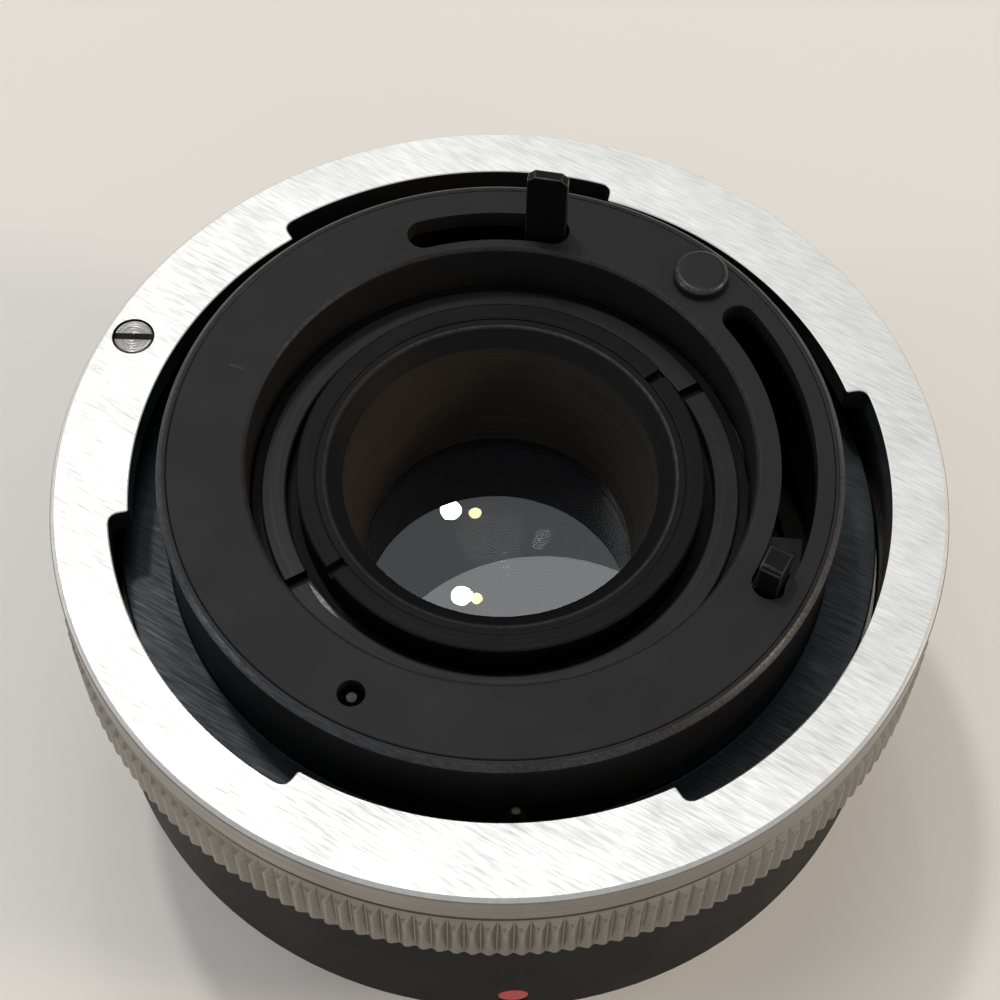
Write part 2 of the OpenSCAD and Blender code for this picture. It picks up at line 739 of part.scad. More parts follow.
module front_mount() {
    color("#b9bab8")
        difference() {
            union() {
                turned([
                    [throat_r, 0], [neck_r, 0], [neck_r, mount_rise], [base_r, mount_rise],
                    [base_r, mount_rise + base_t], [tube_r, mount_rise + base_t],
                    [tube_r, throat_h], [throat_r, throat_h]
                ]);
                for (i = [0:2])
                    sector(neck_r - claw_root, claw_r, 0, claw_t,
                        lug_to[i] + claw_free, lug_from[(i + 1) % 3] + (i == 2 ? 360 : 0) - claw_free);
            }
            at_front_screws() sunk_screw(fit, false);
            rotate([0, 0, index_angle])
                translate([pin_ring_r, 0, -over]) {
                    cylinder(d = pin_d + 2 * fit, h = pin_h + over + seat_gap);
                    translate([0, -pin_d / 2 - fit, 0])
                        cube([neck_r, pin_d + 2 * fit, pin_h + over + seat_gap]);
                }
        }
}

module front_mount_screws() {
    color("#8f9092") at_front_screws() sunk_screw();
}

module core_sleeve() {
    groove_r = track_r - clip_groove;
    lip_z = web_z - sleeve_lip_h;
    color("#2b2b2e")
        turned([
            [nose_r + fit, lip_z], [sleeve_foot_r, lip_z], [sleeve_foot_r, web_z],
            [base_track_r, web_z], [base_track_r, track_z], [track_r, track_z],
            [track_r, clip_z], [groove_r, clip_z], [groove_r, clip_z + clip_t + slip],
            [track_r, clip_z + clip_t + slip], [track_r, lock_z - sleeve_drop],
            [sleeve_in_r, lock_z - sleeve_drop], [sleeve_in_r, ledge_z], [nose_r + fit, ledge_z]
        ]);
}

module rear_mount() {
    color("#1d1e21")
        difference() {
            turned([
                [spigot_in_r, flange_under_z], [flange_r, flange_under_z], [flange_r, flange_z],
                [spigot_r, flange_z], [spigot_r, plate_z - rim_edge], [spigot_r - rim_edge, plate_z],
                [plate_seat_r, plate_z], [plate_seat_r, plate_under_z], [spigot_in_r, plate_under_z]
            ]);
            at_rear_screws() sunk_screw(fit, false);
            bar(pin_ring_r, index_angle, pin_d + 2 * fit, flange_under_z - over, flange_z + over);
        }
}

module rear_mount_screws() {
    color("#3a3a3c") at_rear_screws() sunk_screw();
}

module locating_pin() {
    color("#b5b2ab")
        translate(polar(pin_ring_r, index_angle, 0))
            turned([
                [0, flange_under_z], [pin_d / 2, flange_under_z], [pin_d / 2, flange_z + pin_h - pin_taper],
                [pin_tip_d / 2, flange_z + pin_h], [0, flange_z + pin_h]
            ]);
}

module rear_plate() {
    color("#1b1b1d")
        difference() {
            turned([
                [well_r, lock_z - collar_drop], [well_r + collar_wall, lock_z - collar_drop],
                [well_r + collar_wall, plate_under_z], [plate_seat_r - fit, plate_under_z],
                [plate_seat_r - fit, plate_z], [well_r + well_edge, plate_z],
                [well_r, plate_z - well_edge]
            ]);
            curved_slot(aperture_r, slot_w, plate_under_z - over, plate_z + over, aperture_from, aperture_to);
            curved_slot(signal_r, slot_w, plate_under_z - over, plate_z + over, signal_from, signal_to);
            bar(post_ring_r, post_angle, post_shank_d + 2 * fit, plate_under_z - over, plate_z + over);
            bar(exposure_ring_r, exposure_angle, exposure_hole_d, plate_under_z - over, plate_z + over);
        }
}

module aperture_post() {
    round_r = post_head_h / 2;
    head_r = post_head_d / 2;
    head_z = plate_z + post_head_h;
    color("#202022")
        translate(polar(post_ring_r, post_angle, 0))
            turned([
                [0, plate_under_z], [post_shank_d / 2, plate_under_z], [post_shank_d / 2, plate_z],
                [head_r, plate_z], [head_r, head_z - round_r],
                for (a = [15:15:75])
                    [head_r - round_r * (1 - cos(a)), head_z - round_r * (1 - sin(a))],
                [head_r - round_r, head_z], [0, head_z]
            ]);
}

module friction_washer() {
    color("#2a2a2d")
        ring(hub_r + 2 * slip, flange_r - 2 * slip, lip_top_z + slip, lip_top_z + slip + washer_t);
}

// Knurled band with its tooth ends cut to a cone
module knurl_band() {
    core_r = root_r - over;
    intersection() {
        translate([0, 0, ring_z])
            linear_extrude(height = knurl_top_z - ring_z)
                difference() {
                    polygon([
                        for (i = [0:2 * knurl_teeth - 1])
                            let (a = 180 * i / knurl_teeth, r = i % 2 == 0 ? tip_r : root_r)
                            [r * cos(a), r * sin(a)]
                    ]);
                    circle(r = core_r);
                }
        turned([
            [core_r - over, ring_z], [root_r - knurl_sink, ring_z],
            [tip_r + eps, ring_z + knurl_end], [tip_r + eps, knurl_top_z - knurl_end],
            [root_r - knurl_sink, knurl_top_z], [core_r - over, knurl_top_z]
        ]);
    }
}

module breech_ring() {
    corner = asin(lug_corner / (gap_r - lug_corner));
    color("#c9cac7")
        difference() {
            union() {
                turned([
                    [hub_r + slip, ring_z], [root_r - knurl_sink, ring_z], [root_r - knurl_sink, knurl_top_z],
                    [ring_r - groove_depth, knurl_top_z], [ring_r - groove_depth, face_z - land_h],
                    [ring_r, face_z - land_h], [ring_r, face_z - ring_edge], [ring_r - ring_edge, face_z],
                    [lug_r, face_z], [lug_r, lug_under_z], [ring_bore_r, lug_under_z],
                    [ring_bore_r, lip_top_z], [hub_r + slip, lip_top_z]
                ]);
                knurl_band();
            }
            for (i = [0:2]) {
                a0 = lug_to[i];
                a1 = lug_from[(i + 1) % 3] + (i == 2 ? 360 : 0);
                sector(lug_r - over, gap_r - lug_corner, lug_under_z - over, face_z + over, a0, a1);
                sector(lug_r, gap_r, lug_under_z - over, face_z + over, a0 + corner, a1 - corner);
                for (a = [a0 + corner, a1 - corner])
                    bar(gap_r - lug_corner, a, 2 * (lug_corner - eps), lug_under_z - over, face_z + over);
            }
            bar(stop_ring_r, stop_angle, stop_shank_d + 2 * fit, ring_z - over, face_z + over);
            bar(stop_ring_r, stop_angle, stop_head_d + 4 * slip, face_z - stop_head_h - fit, face_z + over);
        }
}

module ring_stop_screw() {
    color("#9a9b9d")
        difference() {
            union() {
                bar(stop_ring_r, stop_angle, stop_head_d, face_z - stop_head_h, face_z);
                bar(stop_ring_r, stop_angle, stop_shank_d, ring_z, face_z - stop_head_h + eps);
                bar(stop_ring_r, stop_angle, stop_dog_d, ring_z - stop_dog_h, ring_z + eps);
            }
            translate(polar(stop_ring_r, stop_angle, face_z - stop_head_h / 2))
                rotate([0, 0, stop_slot_turn])
                    translate([-stop_head_d, -stop_slot / 2, 0])
                        cube([2 * stop_head_d, stop_slot, stop_head_h]);
        }
}

module lens_cell() {
    bore_r = glass_r + fit;
    color("#232326")
        turned([
            [front_glass_r + fit, nose_z], [nose_r, nose_z], [nose_r, ledge_z], [cell_r, ledge_z],
            [cell_r, lock_under_z], [retainer_r, lock_under_z], [retainer_r, tube_top_z],
            [skirt_r + fit, tube_top_z], [skirt_r + fit, flare_z], [bore_r, flare_z],
            [bore_r, doublet_seat_z], [seat_r, doublet_seat_z], [seat_r, front_rim_z],
            [front_glass_r + fit, front_rim_z]
        ]);
}

module cell_lock_ring() {
    color("#2a2a2d")
        difference() {
            ring(lock_in_r, cell_r, lock_under_z, lock_z);
            notches(lock_notch_w, lock_in_r, cell_r, lock_z, lock_notch_angle);
        }
}

module rear_retainer() {
    color("#2c2c30")
        difference() {
            turned([
                [retainer_in_r, skirt_z], [skirt_r, skirt_z], [skirt_r, tube_top_z],
                [retainer_r, tube_top_z], [retainer_r, retainer_z], [retainer_in_r, retainer_z]
            ]);
            notches(retainer_notch_w, retainer_in_r, retainer_r, retainer_z, retainer_notch_angle);
        }
}

// Funnel and stepped bore between the rear retainer and the rear element
module rear_baffle() {
    top_z = retainer_z - baffle_drop;
    throat_z = top_z - funnel_h;
    step_h = (throat_z - baffle_z) / baffle_steps;
    color("#2a251c")
        turned([
            [funnel_r, top_z], [baffle_r, throat_z],
            for (i = [1:baffle_steps])
                each [
                    [baffle_r - baffle_step * (i - 1), throat_z - step_h * (i - baffle_slope)],
                    [baffle_r - baffle_step * i, throat_z - step_h * i]
                ],
            [glass_r, baffle_z], [glass_r, flare_z + fit], [flare_r, flare_z + fit],
            [flare_r, flare_z + flare_h], [stem_r, flare_z + flare_h], [stem_r, top_z]
        ]);
}

module rear_element() {
    color("#aebcc4", 0.5)
        turned(concat(
            lens_face(rear_front_z, rear_inner_curve, 0, glass_r),
            lens_face(glass_z, -rear_curve, glass_r, 0)
        ));
}

module rear_spacer() {
    color("#2a2a2d") ring(seat_r, glass_r, doublet_rim_z, rear_seat_z);
}

module doublet_rear() {
    color("#a9b8c2", 0.5)
        turned(concat(
            [[0, cement_z], [glass_r, cement_z], [glass_r, doublet_rim_z]],
            lens_face(doublet_z, doublet_curve, seat_r, 0)
        ));
}

module doublet_front() {
    color("#b4c2ca", 0.5)
        turned(concat(
            lens_face(doublet_front_z, doublet_curve, 0, glass_r),
            [[glass_r, cement_z], [0, cement_z]]
        ));
}

module front_element() {
    color("#aab9c4", 0.5)
        turned(concat(
            lens_face(front_outer_z, front_curve, 0, front_glass_r),
            [[front_glass_r, front_rim_z]],
            lens_face(front_inner_z, front_inner_curve, front_seat_r, 0)
        ));
}

module front_retainer() {
    color("#2a2a2d")
        difference() {
            ring(front_seat_r, front_glass_r, nose_z, front_outer_z + sag(front_seat_r, front_curve) - fit);
            translate([0, 0, 2 * nose_z]) mirror([0, 0, 1])
                notches(retainer_notch_w, front_seat_r, front_glass_r, nose_z, 0);
        }
}

module aperture_carrier() {
    color("#26262a")
        carrier(aperture_z, aperture_foot_r, aperture_rivets_down[1] - ear_margin,
            aperture_rivets_up[1] + ear_margin, concat(aperture_rivets_up, aperture_rivets_down),
            rivet_ring_r);
}

module aperture_lever() {
    z = aperture_z + carrier_t;
    top_z = plate_z + aperture_rise;
    color("#222224")
        difference() {
            union() {
                foot(aperture_foot_r, z, aperture_angle - aperture_half,
                    aperture_rivets_up[1] + ear_margin, aperture_rivets_up, rivet_ring_r);
                blade(aperture_blade_r, aperture_t, aperture_w, z, top_z, aperture_angle);
            }
            rotate([0, 0, aperture_angle])
                for (s = [-1, 1])
                    translate([aperture_r, s * aperture_w / 2, top_z])
                        rotate([45, 0, 0])
                            cube([slot_w, aperture_bevel * sqrt(2), aperture_bevel * sqrt(2)], center = true);
        }
}

module aperture_follower() {
    z = aperture_z - foot_t;
    color("#8d8d8f") {
        foot(aperture_foot_r, z, aperture_rivets_down[1] - ear_margin,
            aperture_tab_angle + tab_margin, aperture_rivets_down, rivet_ring_r);
        blade(aperture_blade_r, aperture_t, tab_w, follower_z, z + foot_t, aperture_tab_angle);
    }
}

module aperture_rivets() {
    color("#c3c0b8") {
        rivets(aperture_rivets_up, rivet_ring_r, aperture_z, aperture_z + carrier_t + foot_t);
        rivets(aperture_rivets_down, rivet_ring_r, aperture_z - foot_t, aperture_z + carrier_t);
    }
}

module aperture_spring() {
    lever_side = asin((aperture_w / 2 + wire_d) / aperture_r) + lever_gap;
    color("#9c9c98")
        wire(torsion_path(aperture_post_angle - leg_side, 360 * aperture_coils + aperture_angle + lever_side,
                spacer_z + wire_d, spacer_z + spacer_h - wire_d), wire_d);
}

module carrier_spacer() {
    color("#2e2e31") ring(track_r + fit, base_track_r, spacer_z, spacer_z + spacer_h);
}

module signal_carrier() {
    color("#26262a")
        carrier(signal_z, signal_foot_r, signal_rivets_up[1] - ear_margin,
            signal_rivets_down[1] + ear_margin, concat(signal_rivets_up, signal_rivets_down),
            signal_rivet_ring_r);
}

module signal_lever() {
    z = signal_z + carrier_t;
    color("#222224") {
        foot(signal_foot_r, z, signal_rivets_up[1] - ear_margin,
            signal_angle + signal_half, signal_rivets_up, signal_rivet_ring_r);
        blade(signal_r, signal_t, signal_w, z, plate_z + signal_rise, signal_angle);
    }
}

module signal_follower() {
    z = signal_z - foot_t;
    color("#8d8d8f") {
        foot(signal_foot_r, z, signal_tab_angle - tab_margin,
            signal_rivets_down[1] + ear_margin, signal_rivets_down, signal_rivet_ring_r);
        blade(signal_r, aperture_t, tab_w, follower_z, z + foot_t, signal_tab_angle);
    }
}

module signal_rivets() {
    color("#c3c0b8") {
        rivets(signal_rivets_up, signal_rivet_ring_r, signal_z, signal_z + carrier_t + foot_t);
        rivets(signal_rivets_down, signal_rivet_ring_r, signal_z - foot_t, signal_z + carrier_t);
    }
}

module signal_spring() {
    lever_side = asin((signal_w / 2 + wire_d) / signal_r) + lever_gap;
    z0 = clip_z + clip_t + wire_d;
    color("#9c9c98")
        wire(torsion_path(signal_post_angle - leg_side, 360 * signal_coils + signal_angle + lever_side,
                z0, lock_z - collar_drop - wire_d), wire_d);
}

module carrier_clip() {
    mouth_angle = 200;
    color("#b8b5ae")
        translate([0, 0, clip_z])
            sector(track_r - clip_groove + fit, base_track_r, 0, clip_t,
                mouth_angle + clip_mouth / 2, mouth_angle + 360 - clip_mouth / 2);
}

module spring_posts() {
    color("#b8b5ae") {
        bar(post_ring, aperture_post_angle, post_d, web_top_z - web_t / 2, spacer_z + spacer_h);
        bar(post_ring, signal_post_angle, post_d, web_top_z - web_t / 2, clip_z + post_rise);
    }
}

// Heights of the exposure pin's bush and collar, hung from the plate
function collar_z() = plate_under_z - exposure_spring_h - exposure_collar_h;

module exposure_pin() {
    tip_z = plate_z - exposure_recess;
    r = exposure_d / 2;
    color("#8d8d8f")
        translate(polar(exposure_ring_r, exposure_angle, 0))
            turned([
                [0, follower_z], [r, follower_z], [r, collar_z()], [exposure_collar_d / 2, collar_z()],
                [exposure_collar_d / 2, collar_z() + exposure_collar_h], [r, collar_z() + exposure_collar_h],
                [r, tip_z - r / 2], [r / 2, tip_z], [0, tip_z]
            ]);
}

module exposure_bush() {
    color("#b89554")
        translate(polar(exposure_ring_r, exposure_angle, 0))
            ring(exposure_d / 2 + slip, exposure_d / 2 + bush_wall, web_z, collar_z() - slip);
}

module exposure_spring() {
    r = (exposure_d + exposure_wire_d) / 2 + 2 * slip;
    color("#9c9c98")
        translate(polar(exposure_ring_r, exposure_angle, 0))
            wire(coil_path(r, exposure_coils, collar_z() + exposure_collar_h + exposure_wire_d,
                    plate_under_z - exposure_wire_d), exposure_wire_d);
}

main_barrel();
index_dot();
front_mount();
front_mount_screws();
core_sleeve();
rear_mount();
rear_mount_screws();
locating_pin();
rear_plate();
aperture_post();
friction_washer();
breech_ring();
ring_stop_screw();
lens_cell();
cell_lock_ring();
rear_retainer();
rear_baffle();
rear_element();
rear_spacer();
doublet_rear();
doublet_front();
front_element();
front_retainer();
aperture_carrier();
aperture_lever();
aperture_follower();
aperture_rivets();
aperture_spring();
carrier_spacer();
signal_carrier();
signal_lever();
signal_follower();
signal_rivets();
signal_spring();
carrier_clip();
spring_posts();
exposure_pin();
exposure_bush();
exposure_spring();
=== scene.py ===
"""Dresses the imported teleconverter: brushed ring, black mounts, coated glass, a table and soft light.

Sizes in the classes are millimetres and angles are degrees. Meshes are made in metres, in the frame of the
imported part: the optical axis is Z, the camera side is up, and the index is at 273.5 degrees.
"""
from __future__ import annotations

import logging
import math
from dataclasses import dataclass, replace
from enum import Enum
from functools import cache
from typing import Iterable, Sequence

import bmesh
import bpy
from mathutils import Matrix, Vector

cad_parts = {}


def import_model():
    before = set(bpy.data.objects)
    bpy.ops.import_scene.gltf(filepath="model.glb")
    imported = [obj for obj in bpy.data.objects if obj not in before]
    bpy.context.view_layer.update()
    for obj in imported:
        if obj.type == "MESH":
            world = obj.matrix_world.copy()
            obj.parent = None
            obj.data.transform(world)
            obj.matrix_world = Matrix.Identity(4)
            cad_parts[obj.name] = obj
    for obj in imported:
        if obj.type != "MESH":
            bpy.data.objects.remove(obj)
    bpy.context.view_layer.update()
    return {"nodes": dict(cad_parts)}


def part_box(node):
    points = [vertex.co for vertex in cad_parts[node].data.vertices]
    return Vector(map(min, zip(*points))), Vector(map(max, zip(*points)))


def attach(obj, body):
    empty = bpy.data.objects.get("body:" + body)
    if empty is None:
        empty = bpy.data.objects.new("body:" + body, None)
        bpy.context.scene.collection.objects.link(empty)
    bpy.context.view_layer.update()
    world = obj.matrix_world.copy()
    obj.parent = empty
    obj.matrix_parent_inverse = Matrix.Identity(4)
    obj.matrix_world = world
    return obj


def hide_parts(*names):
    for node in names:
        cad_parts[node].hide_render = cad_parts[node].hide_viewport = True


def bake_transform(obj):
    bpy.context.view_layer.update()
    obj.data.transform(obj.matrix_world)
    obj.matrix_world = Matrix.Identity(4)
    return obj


LOG = logging.getLogger("teleconverter")
MM = 0.001
SEGMENTS = 288
HOLE_SEGMENTS = 48
SHARP_ANGLE = 40.0
MERGE_ANGLE = 0.6
LEVEL = 0.999999
WELD = 1e-7
CUT_FREE = 1.0
EASE = 0.12
BEVEL_PROFILE = 0.6
MARK_SINK = 0.05
MARK_RISE = 0.01
Point = tuple[float, float]
Triple = tuple[float, float, float]
Spot = tuple[float, float, float, float]
Piece = bpy.types.Object
Mesh = bmesh.types.BMesh
Socket = bpy.types.NodeSocket


class Body(Enum):
    """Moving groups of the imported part."""

    HOUSING = "housing"
    RING = "breech_ring"
    APERTURE = "aperture_linkage"
    SIGNAL = "signal_linkage"
    EXPOSURE = "exposure_pin"


class Grain(Enum):
    """Direction of the fine lines that a tool leaves in metal."""

    STRAIGHT = "straight"
    TURNED = "turned"
    SPECKLED = "speckled"


class NodeMaker:
    """Adds the nodes of one tree."""

    tree: bpy.types.NodeTree

    def add(self, kind: str, values: dict[str | int, object] | None = None, **settings: object
            ) -> bpy.types.Node:
        """Add a node.

        Args:
            kind: Blender's type name of the node.
            values: a value or a linked output for inputs, by their name or number.
            settings: values of the node's properties, by property name.

        Returns:
            The new node.
        """
        node = self.tree.nodes.new(kind)
        for key, value in settings.items():
            setattr(node, key, value)
        self.fill(node, values or {})
        return node

    def fill(self, node: bpy.types.Node, values: dict[str | int, object]) -> None:
        """Set or link inputs of a node.

        Args:
            node: node with the inputs.
            values: a value or a linked output for inputs, by their name or number.
        """
        for key, value in values.items():
            if isinstance(value, bpy.types.NodeSocket):
                self.tree.links.new(value, node.inputs[key])
            else:
                node.inputs[key].default_value = value


class Graph(NodeMaker):
    """Nodes of one material."""

    mix_low, mix_high, mix_result = 6, 7, 2
    noise_low, noise_high = 0.32, 0.68

    def __init__(self, name: str) -> None:
        """Make a material with a plain shader.

        Args:
            name: name of the material.
        """
        self.material = bpy.data.materials.new(name)
        self.material.use_nodes = True
        self.tree = self.material.node_tree
        self.tree.nodes.clear()
        self.shader = self.add("ShaderNodeBsdfPrincipled")
        self.add("ShaderNodeOutputMaterial", {"Surface": self.shader.outputs["BSDF"]})

    def surface(self, values: dict[str, object]) -> None:
        """Set or link inputs of the shader."""
        self.fill(self.shader, values)

    def math(self, operation: str, first: float | Socket, second: float | Socket = 0.0) -> Socket:
        """Return the output of a Math node on two numbers or outputs."""
        return self.add("ShaderNodeMath", {0: first, 1: second}, operation=operation).outputs[0]

    def noise(self, scale: Sequence[float], turn: float = 0.0, detail: float = 2.0) -> Socket:
        """Add noise on object coordinates.

        Args:
            scale: noise cells per millimetre along the turned X, Y and Z.
            turn: angle of the noise's X axis about Z.
            detail: octaves of the noise.

        Returns:
            The noise's value output.
        """
        mapping = self.add("ShaderNodeMapping", {
            "Vector": self.add("ShaderNodeTexCoord").outputs["Object"],
            "Rotation": (0.0, 0.0, math.radians(turn)), "Scale": [MM / cells for cells in scale],
        }, vector_type="TEXTURE")
        values = {"Vector": mapping.outputs["Vector"], "Scale": 1.0, "Detail": detail}
        return self.add("ShaderNodeTexNoise", values, noise_dimensions="3D").outputs["Fac"]

    def lathe_noise(self, width: float, length: float, centre: Point) -> Socket:
        """Add noise that runs round an upright axis, as a lathe tool's marks do.

        Args:
            width: width of a line.
            length: length of a line as an angle.
            centre: place of the axis.

        Returns:
            The noise's value output.
        """
        shift = self.add("ShaderNodeMapping", {
            "Vector": self.add("ShaderNodeTexCoord").outputs["Object"],
            "Location": (-centre[0] * MM, -centre[1] * MM, 0.0),
        }, vector_type="POINT")
        x, y, z = self.add("ShaderNodeSeparateXYZ", {"Vector": shift.outputs["Vector"]}).outputs
        radius = self.math("SQRT", self.math("ADD", self.math("MULTIPLY", x, x), self.math("MULTIPLY", y, y)))
        angle = self.math("ARCTAN2", y, x)
        turns = 360.0 / length / math.tau
        line = self.add("ShaderNodeCombineXYZ", {
            "X": self.math("DIVIDE", radius, width * MM), "Y": self.math("DIVIDE", z, width * MM),
            "Z": self.math("MULTIPLY", self.math("COSINE", angle), turns),
        })
        return self.add("ShaderNodeTexNoise", {
            "Vector": line.outputs["Vector"], "W": self.math("MULTIPLY", self.math("SINE", angle), turns),
            "Scale": 1.0, "Detail": 2.0,
        }, noise_dimensions="4D").outputs["Fac"]

    def between(self, factor: Socket, low: float, high: float) -> Socket:
        """Spread a noise value over a range.

        Args:
            factor: noise value.
            low: result for a low value.
            high: result for a high value.

        Returns:
            The spread value.
        """
        return self.add("ShaderNodeMapRange", {
            "Value": factor, "From Min": self.noise_low, "From Max": self.noise_high,
            "To Min": low, "To Max": high,
        }).outputs["Result"]

    def tint(self, factor: Socket, low: Triple, high: Triple) -> Socket:
        """Return the mix of two colours by a share of the second."""
        values = {0: factor, self.mix_low: (*low, 1.0), self.mix_high: (*high, 1.0)}
        return self.add("ShaderNodeMix", values, data_type="RGBA").outputs[self.mix_result]

    def relief(self, height: Socket, depth: float, strength: float = 1.0) -> None:
        """Bump the surface by a noise value, to a depth and a share that shows."""
        bump = self.add("ShaderNodeBump", {"Distance": depth * MM, "Strength": strength, "Height": height})
        self.surface({"Normal": bump.outputs["Normal"]})


@dataclass(frozen=True)
class Metal:
    """Metal or paint with the marks of its tool."""

    name: str
    color: Triple
    shade: Triple
    roughness: tuple[float, float]
    grain: Grain
    line_width: float = 0.15
    line_length: float = 6.0
    grain_angle: float = 0.0
    relief: float = 0.001
    metallic: float = 1.0
    specular: float = 0.5
    centre: Point = (0.0, 0.0)
    mark_share: float = 0.7
    cloud_cells: float = 0.22
    cloud_turn: float = 20.0
    octaves: float = 3.0

    @cache
    def material(self) -> bpy.types.Material:
        """Make the node material at the first call.

        Returns:
            The material, the same one at each call.
        """
        graph = Graph(self.name)
        fine = 1.0 / self.line_width
        if self.grain is Grain.STRAIGHT:
            marks = graph.noise((1.0 / self.line_length, fine, fine), self.grain_angle, self.octaves)
        elif self.grain is Grain.TURNED:
            marks = graph.lathe_noise(self.line_width, self.line_length, self.centre)
        else:
            marks = graph.noise((fine, fine, fine), detail=self.octaves)
        clouds = graph.noise((self.cloud_cells,) * 3, self.cloud_turn, self.octaves)
        mixed = graph.math("ADD", graph.math("MULTIPLY", marks, self.mark_share),
                           graph.math("MULTIPLY", clouds, 1.0 - self.mark_share))
        graph.surface({
            "Base Color": graph.tint(graph.between(mixed, 0.0, 1.0), self.shade, self.color),
            "Roughness": graph.between(mixed, self.roughness[1], self.roughness[0]),
            "Metallic": self.metallic, "Specular IOR Level": self.specular,
        })
        graph.relief(marks, self.relief)
        return graph.material

    def worn_and_highlit(self, bare: Triple) -> Metal:
        """Return the lighter edge finish: partly wear where a bare colour shows through, partly a painted
        highlight.
        """
        return replace(self, name=f"{self.name}_worn", color=bare, shade=self.color, grain=Grain.SPECKLED,
                       line_width=0.35, metallic=max(self.metallic, 0.6), specular=0.5)


@dataclass(frozen=True)
class Glass:
    """Coated optical glass."""

    name: str
    color: Triple
    index: float
    coat: Triple
    dust_cells: float = 1.6
    dust_share: float = 0.985

    @cache
    def material(self) -> bpy.types.Material:
        """Make the node material at the first call.

        Returns:
            The material, the same one at each call.
        """
        graph = Graph(self.name)
        dust = graph.between(graph.noise((self.dust_cells,) * 3, detail=4.0), 0.0, 1.0)
        dull = tuple(channel * self.dust_share for channel in self.color)
        graph.surface({
            "Base Color": graph.tint(dust, dull, self.color), "Roughness": 0.0, "IOR": self.index,
            "Transmission Weight": 1.0, "Specular Tint": (*self.coat, 1.0),
        })
        return graph.material


@dataclass(frozen=True)
class Table:
    """Pale table top that keeps the object's shadow."""

    name: str
    color: Triple
    shade: Triple
    cloud_cells: float = 0.012
    grit_cells: float = 6.0
    grit_depth: float = 0.01
    grit_share: float = 0.3

    def material(self) -> bpy.types.Material:
        """Make the node material.

        Returns:
            The material.
        """
        graph = Graph(self.name)
        clouds = graph.between(graph.noise((self.cloud_cells,) * 3, detail=3.0), 0.0, 1.0)
        graph.surface({
            "Base Color": graph.tint(clouds, self.shade, self.color), "Roughness": 0.6,
            "Specular IOR Level": 0.25,
        })
        graph.relief(graph.noise((self.grit_cells,) * 3), self.grit_depth, self.grit_share)
        return graph.material


RING_FACE = Metal(
    "ring_face_brushed", (0.765, 0.77, 0.755), (0.585, 0.59, 0.58), (0.42, 0.56), Grain.STRAIGHT,
    line_width=0.17, line_length=1.9, grain_angle=-30.0, relief=0.003)
# Painted shade: the silver sides and knurl are coloured darker and warmer than the face, for the shade and
# warm light that fall on them.
RING_SIDE_PAINTED_SHADE = Metal(
    "ring_side_turned", (0.33, 0.305, 0.27), (0.20, 0.184, 0.16), (0.24, 0.38), Grain.TURNED,
    line_width=0.09, line_length=40.0, relief=0.0012)
# Painted highlight: the bevels of the face are coloured brighter than the face itself; their lower roughness
# is real polish.
RING_EDGE_HIGHLIGHT = Metal(
    "ring_edge_polished", (0.95, 0.945, 0.93), (0.80, 0.79, 0.77), (0.14, 0.24), Grain.SPECKLED,
    line_width=0.4, relief=0.0008)
RING_INNER = Metal(
    "ring_inner_black", (0.020, 0.020, 0.021), (0.010, 0.010, 0.011), (0.26, 0.4), Grain.SPECKLED,
    line_width=0.2, metallic=0.0, specular=0.35)
SATIN_CHROME = Metal(
    "mount_satin_chrome", (0.80, 0.80, 0.79), (0.60, 0.60, 0.59), (0.2, 0.34), Grain.TURNED,
    line_width=0.08, line_length=60.0, relief=0.0008)
BARREL_BLACK = Metal(
    "barrel_black", (0.0055, 0.005, 0.0047), (0.0035, 0.0031, 0.0029), (0.44, 0.56), Grain.SPECKLED,
    line_width=0.07, relief=0.0022, metallic=0.0, specular=0.09)
FLANGE_BLUED = Metal(
    "flange_blued_brushed", (0.038, 0.044, 0.048), (0.018, 0.021, 0.024), (0.38, 0.52), Grain.STRAIGHT,
    line_width=0.16, line_length=2.4, grain_angle=-30.0, relief=0.003, metallic=0.85)
SPIGOT_BLACK = Metal(
    "spigot_black", (0.012, 0.012, 0.013), (0.007, 0.007, 0.008), (0.34, 0.46), Grain.TURNED,
    line_width=0.12, line_length=25.0, metallic=0.0, specular=0.2)
# Lighter rim chamfer: partly wear, partly a painted highlight along the chamfer.
RIM_WEAR_AND_HIGHLIGHT = Metal(
    "spigot_rim_rubbed", (0.075, 0.077, 0.082), (0.022, 0.022, 0.024), (0.34, 0.46), Grain.STRAIGHT,
    line_width=0.16, line_length=1.2, grain_angle=-30.0, relief=0.003, metallic=0.6)
PLATE_BLACK = Metal(
    "plate_matte_black", (0.0165, 0.0165, 0.018), (0.011, 0.011, 0.012), (0.5, 0.62), Grain.SPECKLED,
    line_width=0.06, relief=0.0018, metallic=0.0, specular=0.2)
LOCK_BLACK = Metal(
    "lock_ring_black", (0.016, 0.016, 0.018), (0.009, 0.009, 0.0105), (0.42, 0.54), Grain.TURNED,
    line_width=0.12, line_length=50.0, relief=0.0008, metallic=0.0, specular=0.22)
RING_BLACK = Metal(
    "optic_ring_black", (0.0068, 0.0068, 0.0078), (0.004, 0.004, 0.0047), (0.44, 0.56), Grain.TURNED,
    line_width=0.12, line_length=50.0, relief=0.0008, metallic=0.0, specular=0.09)
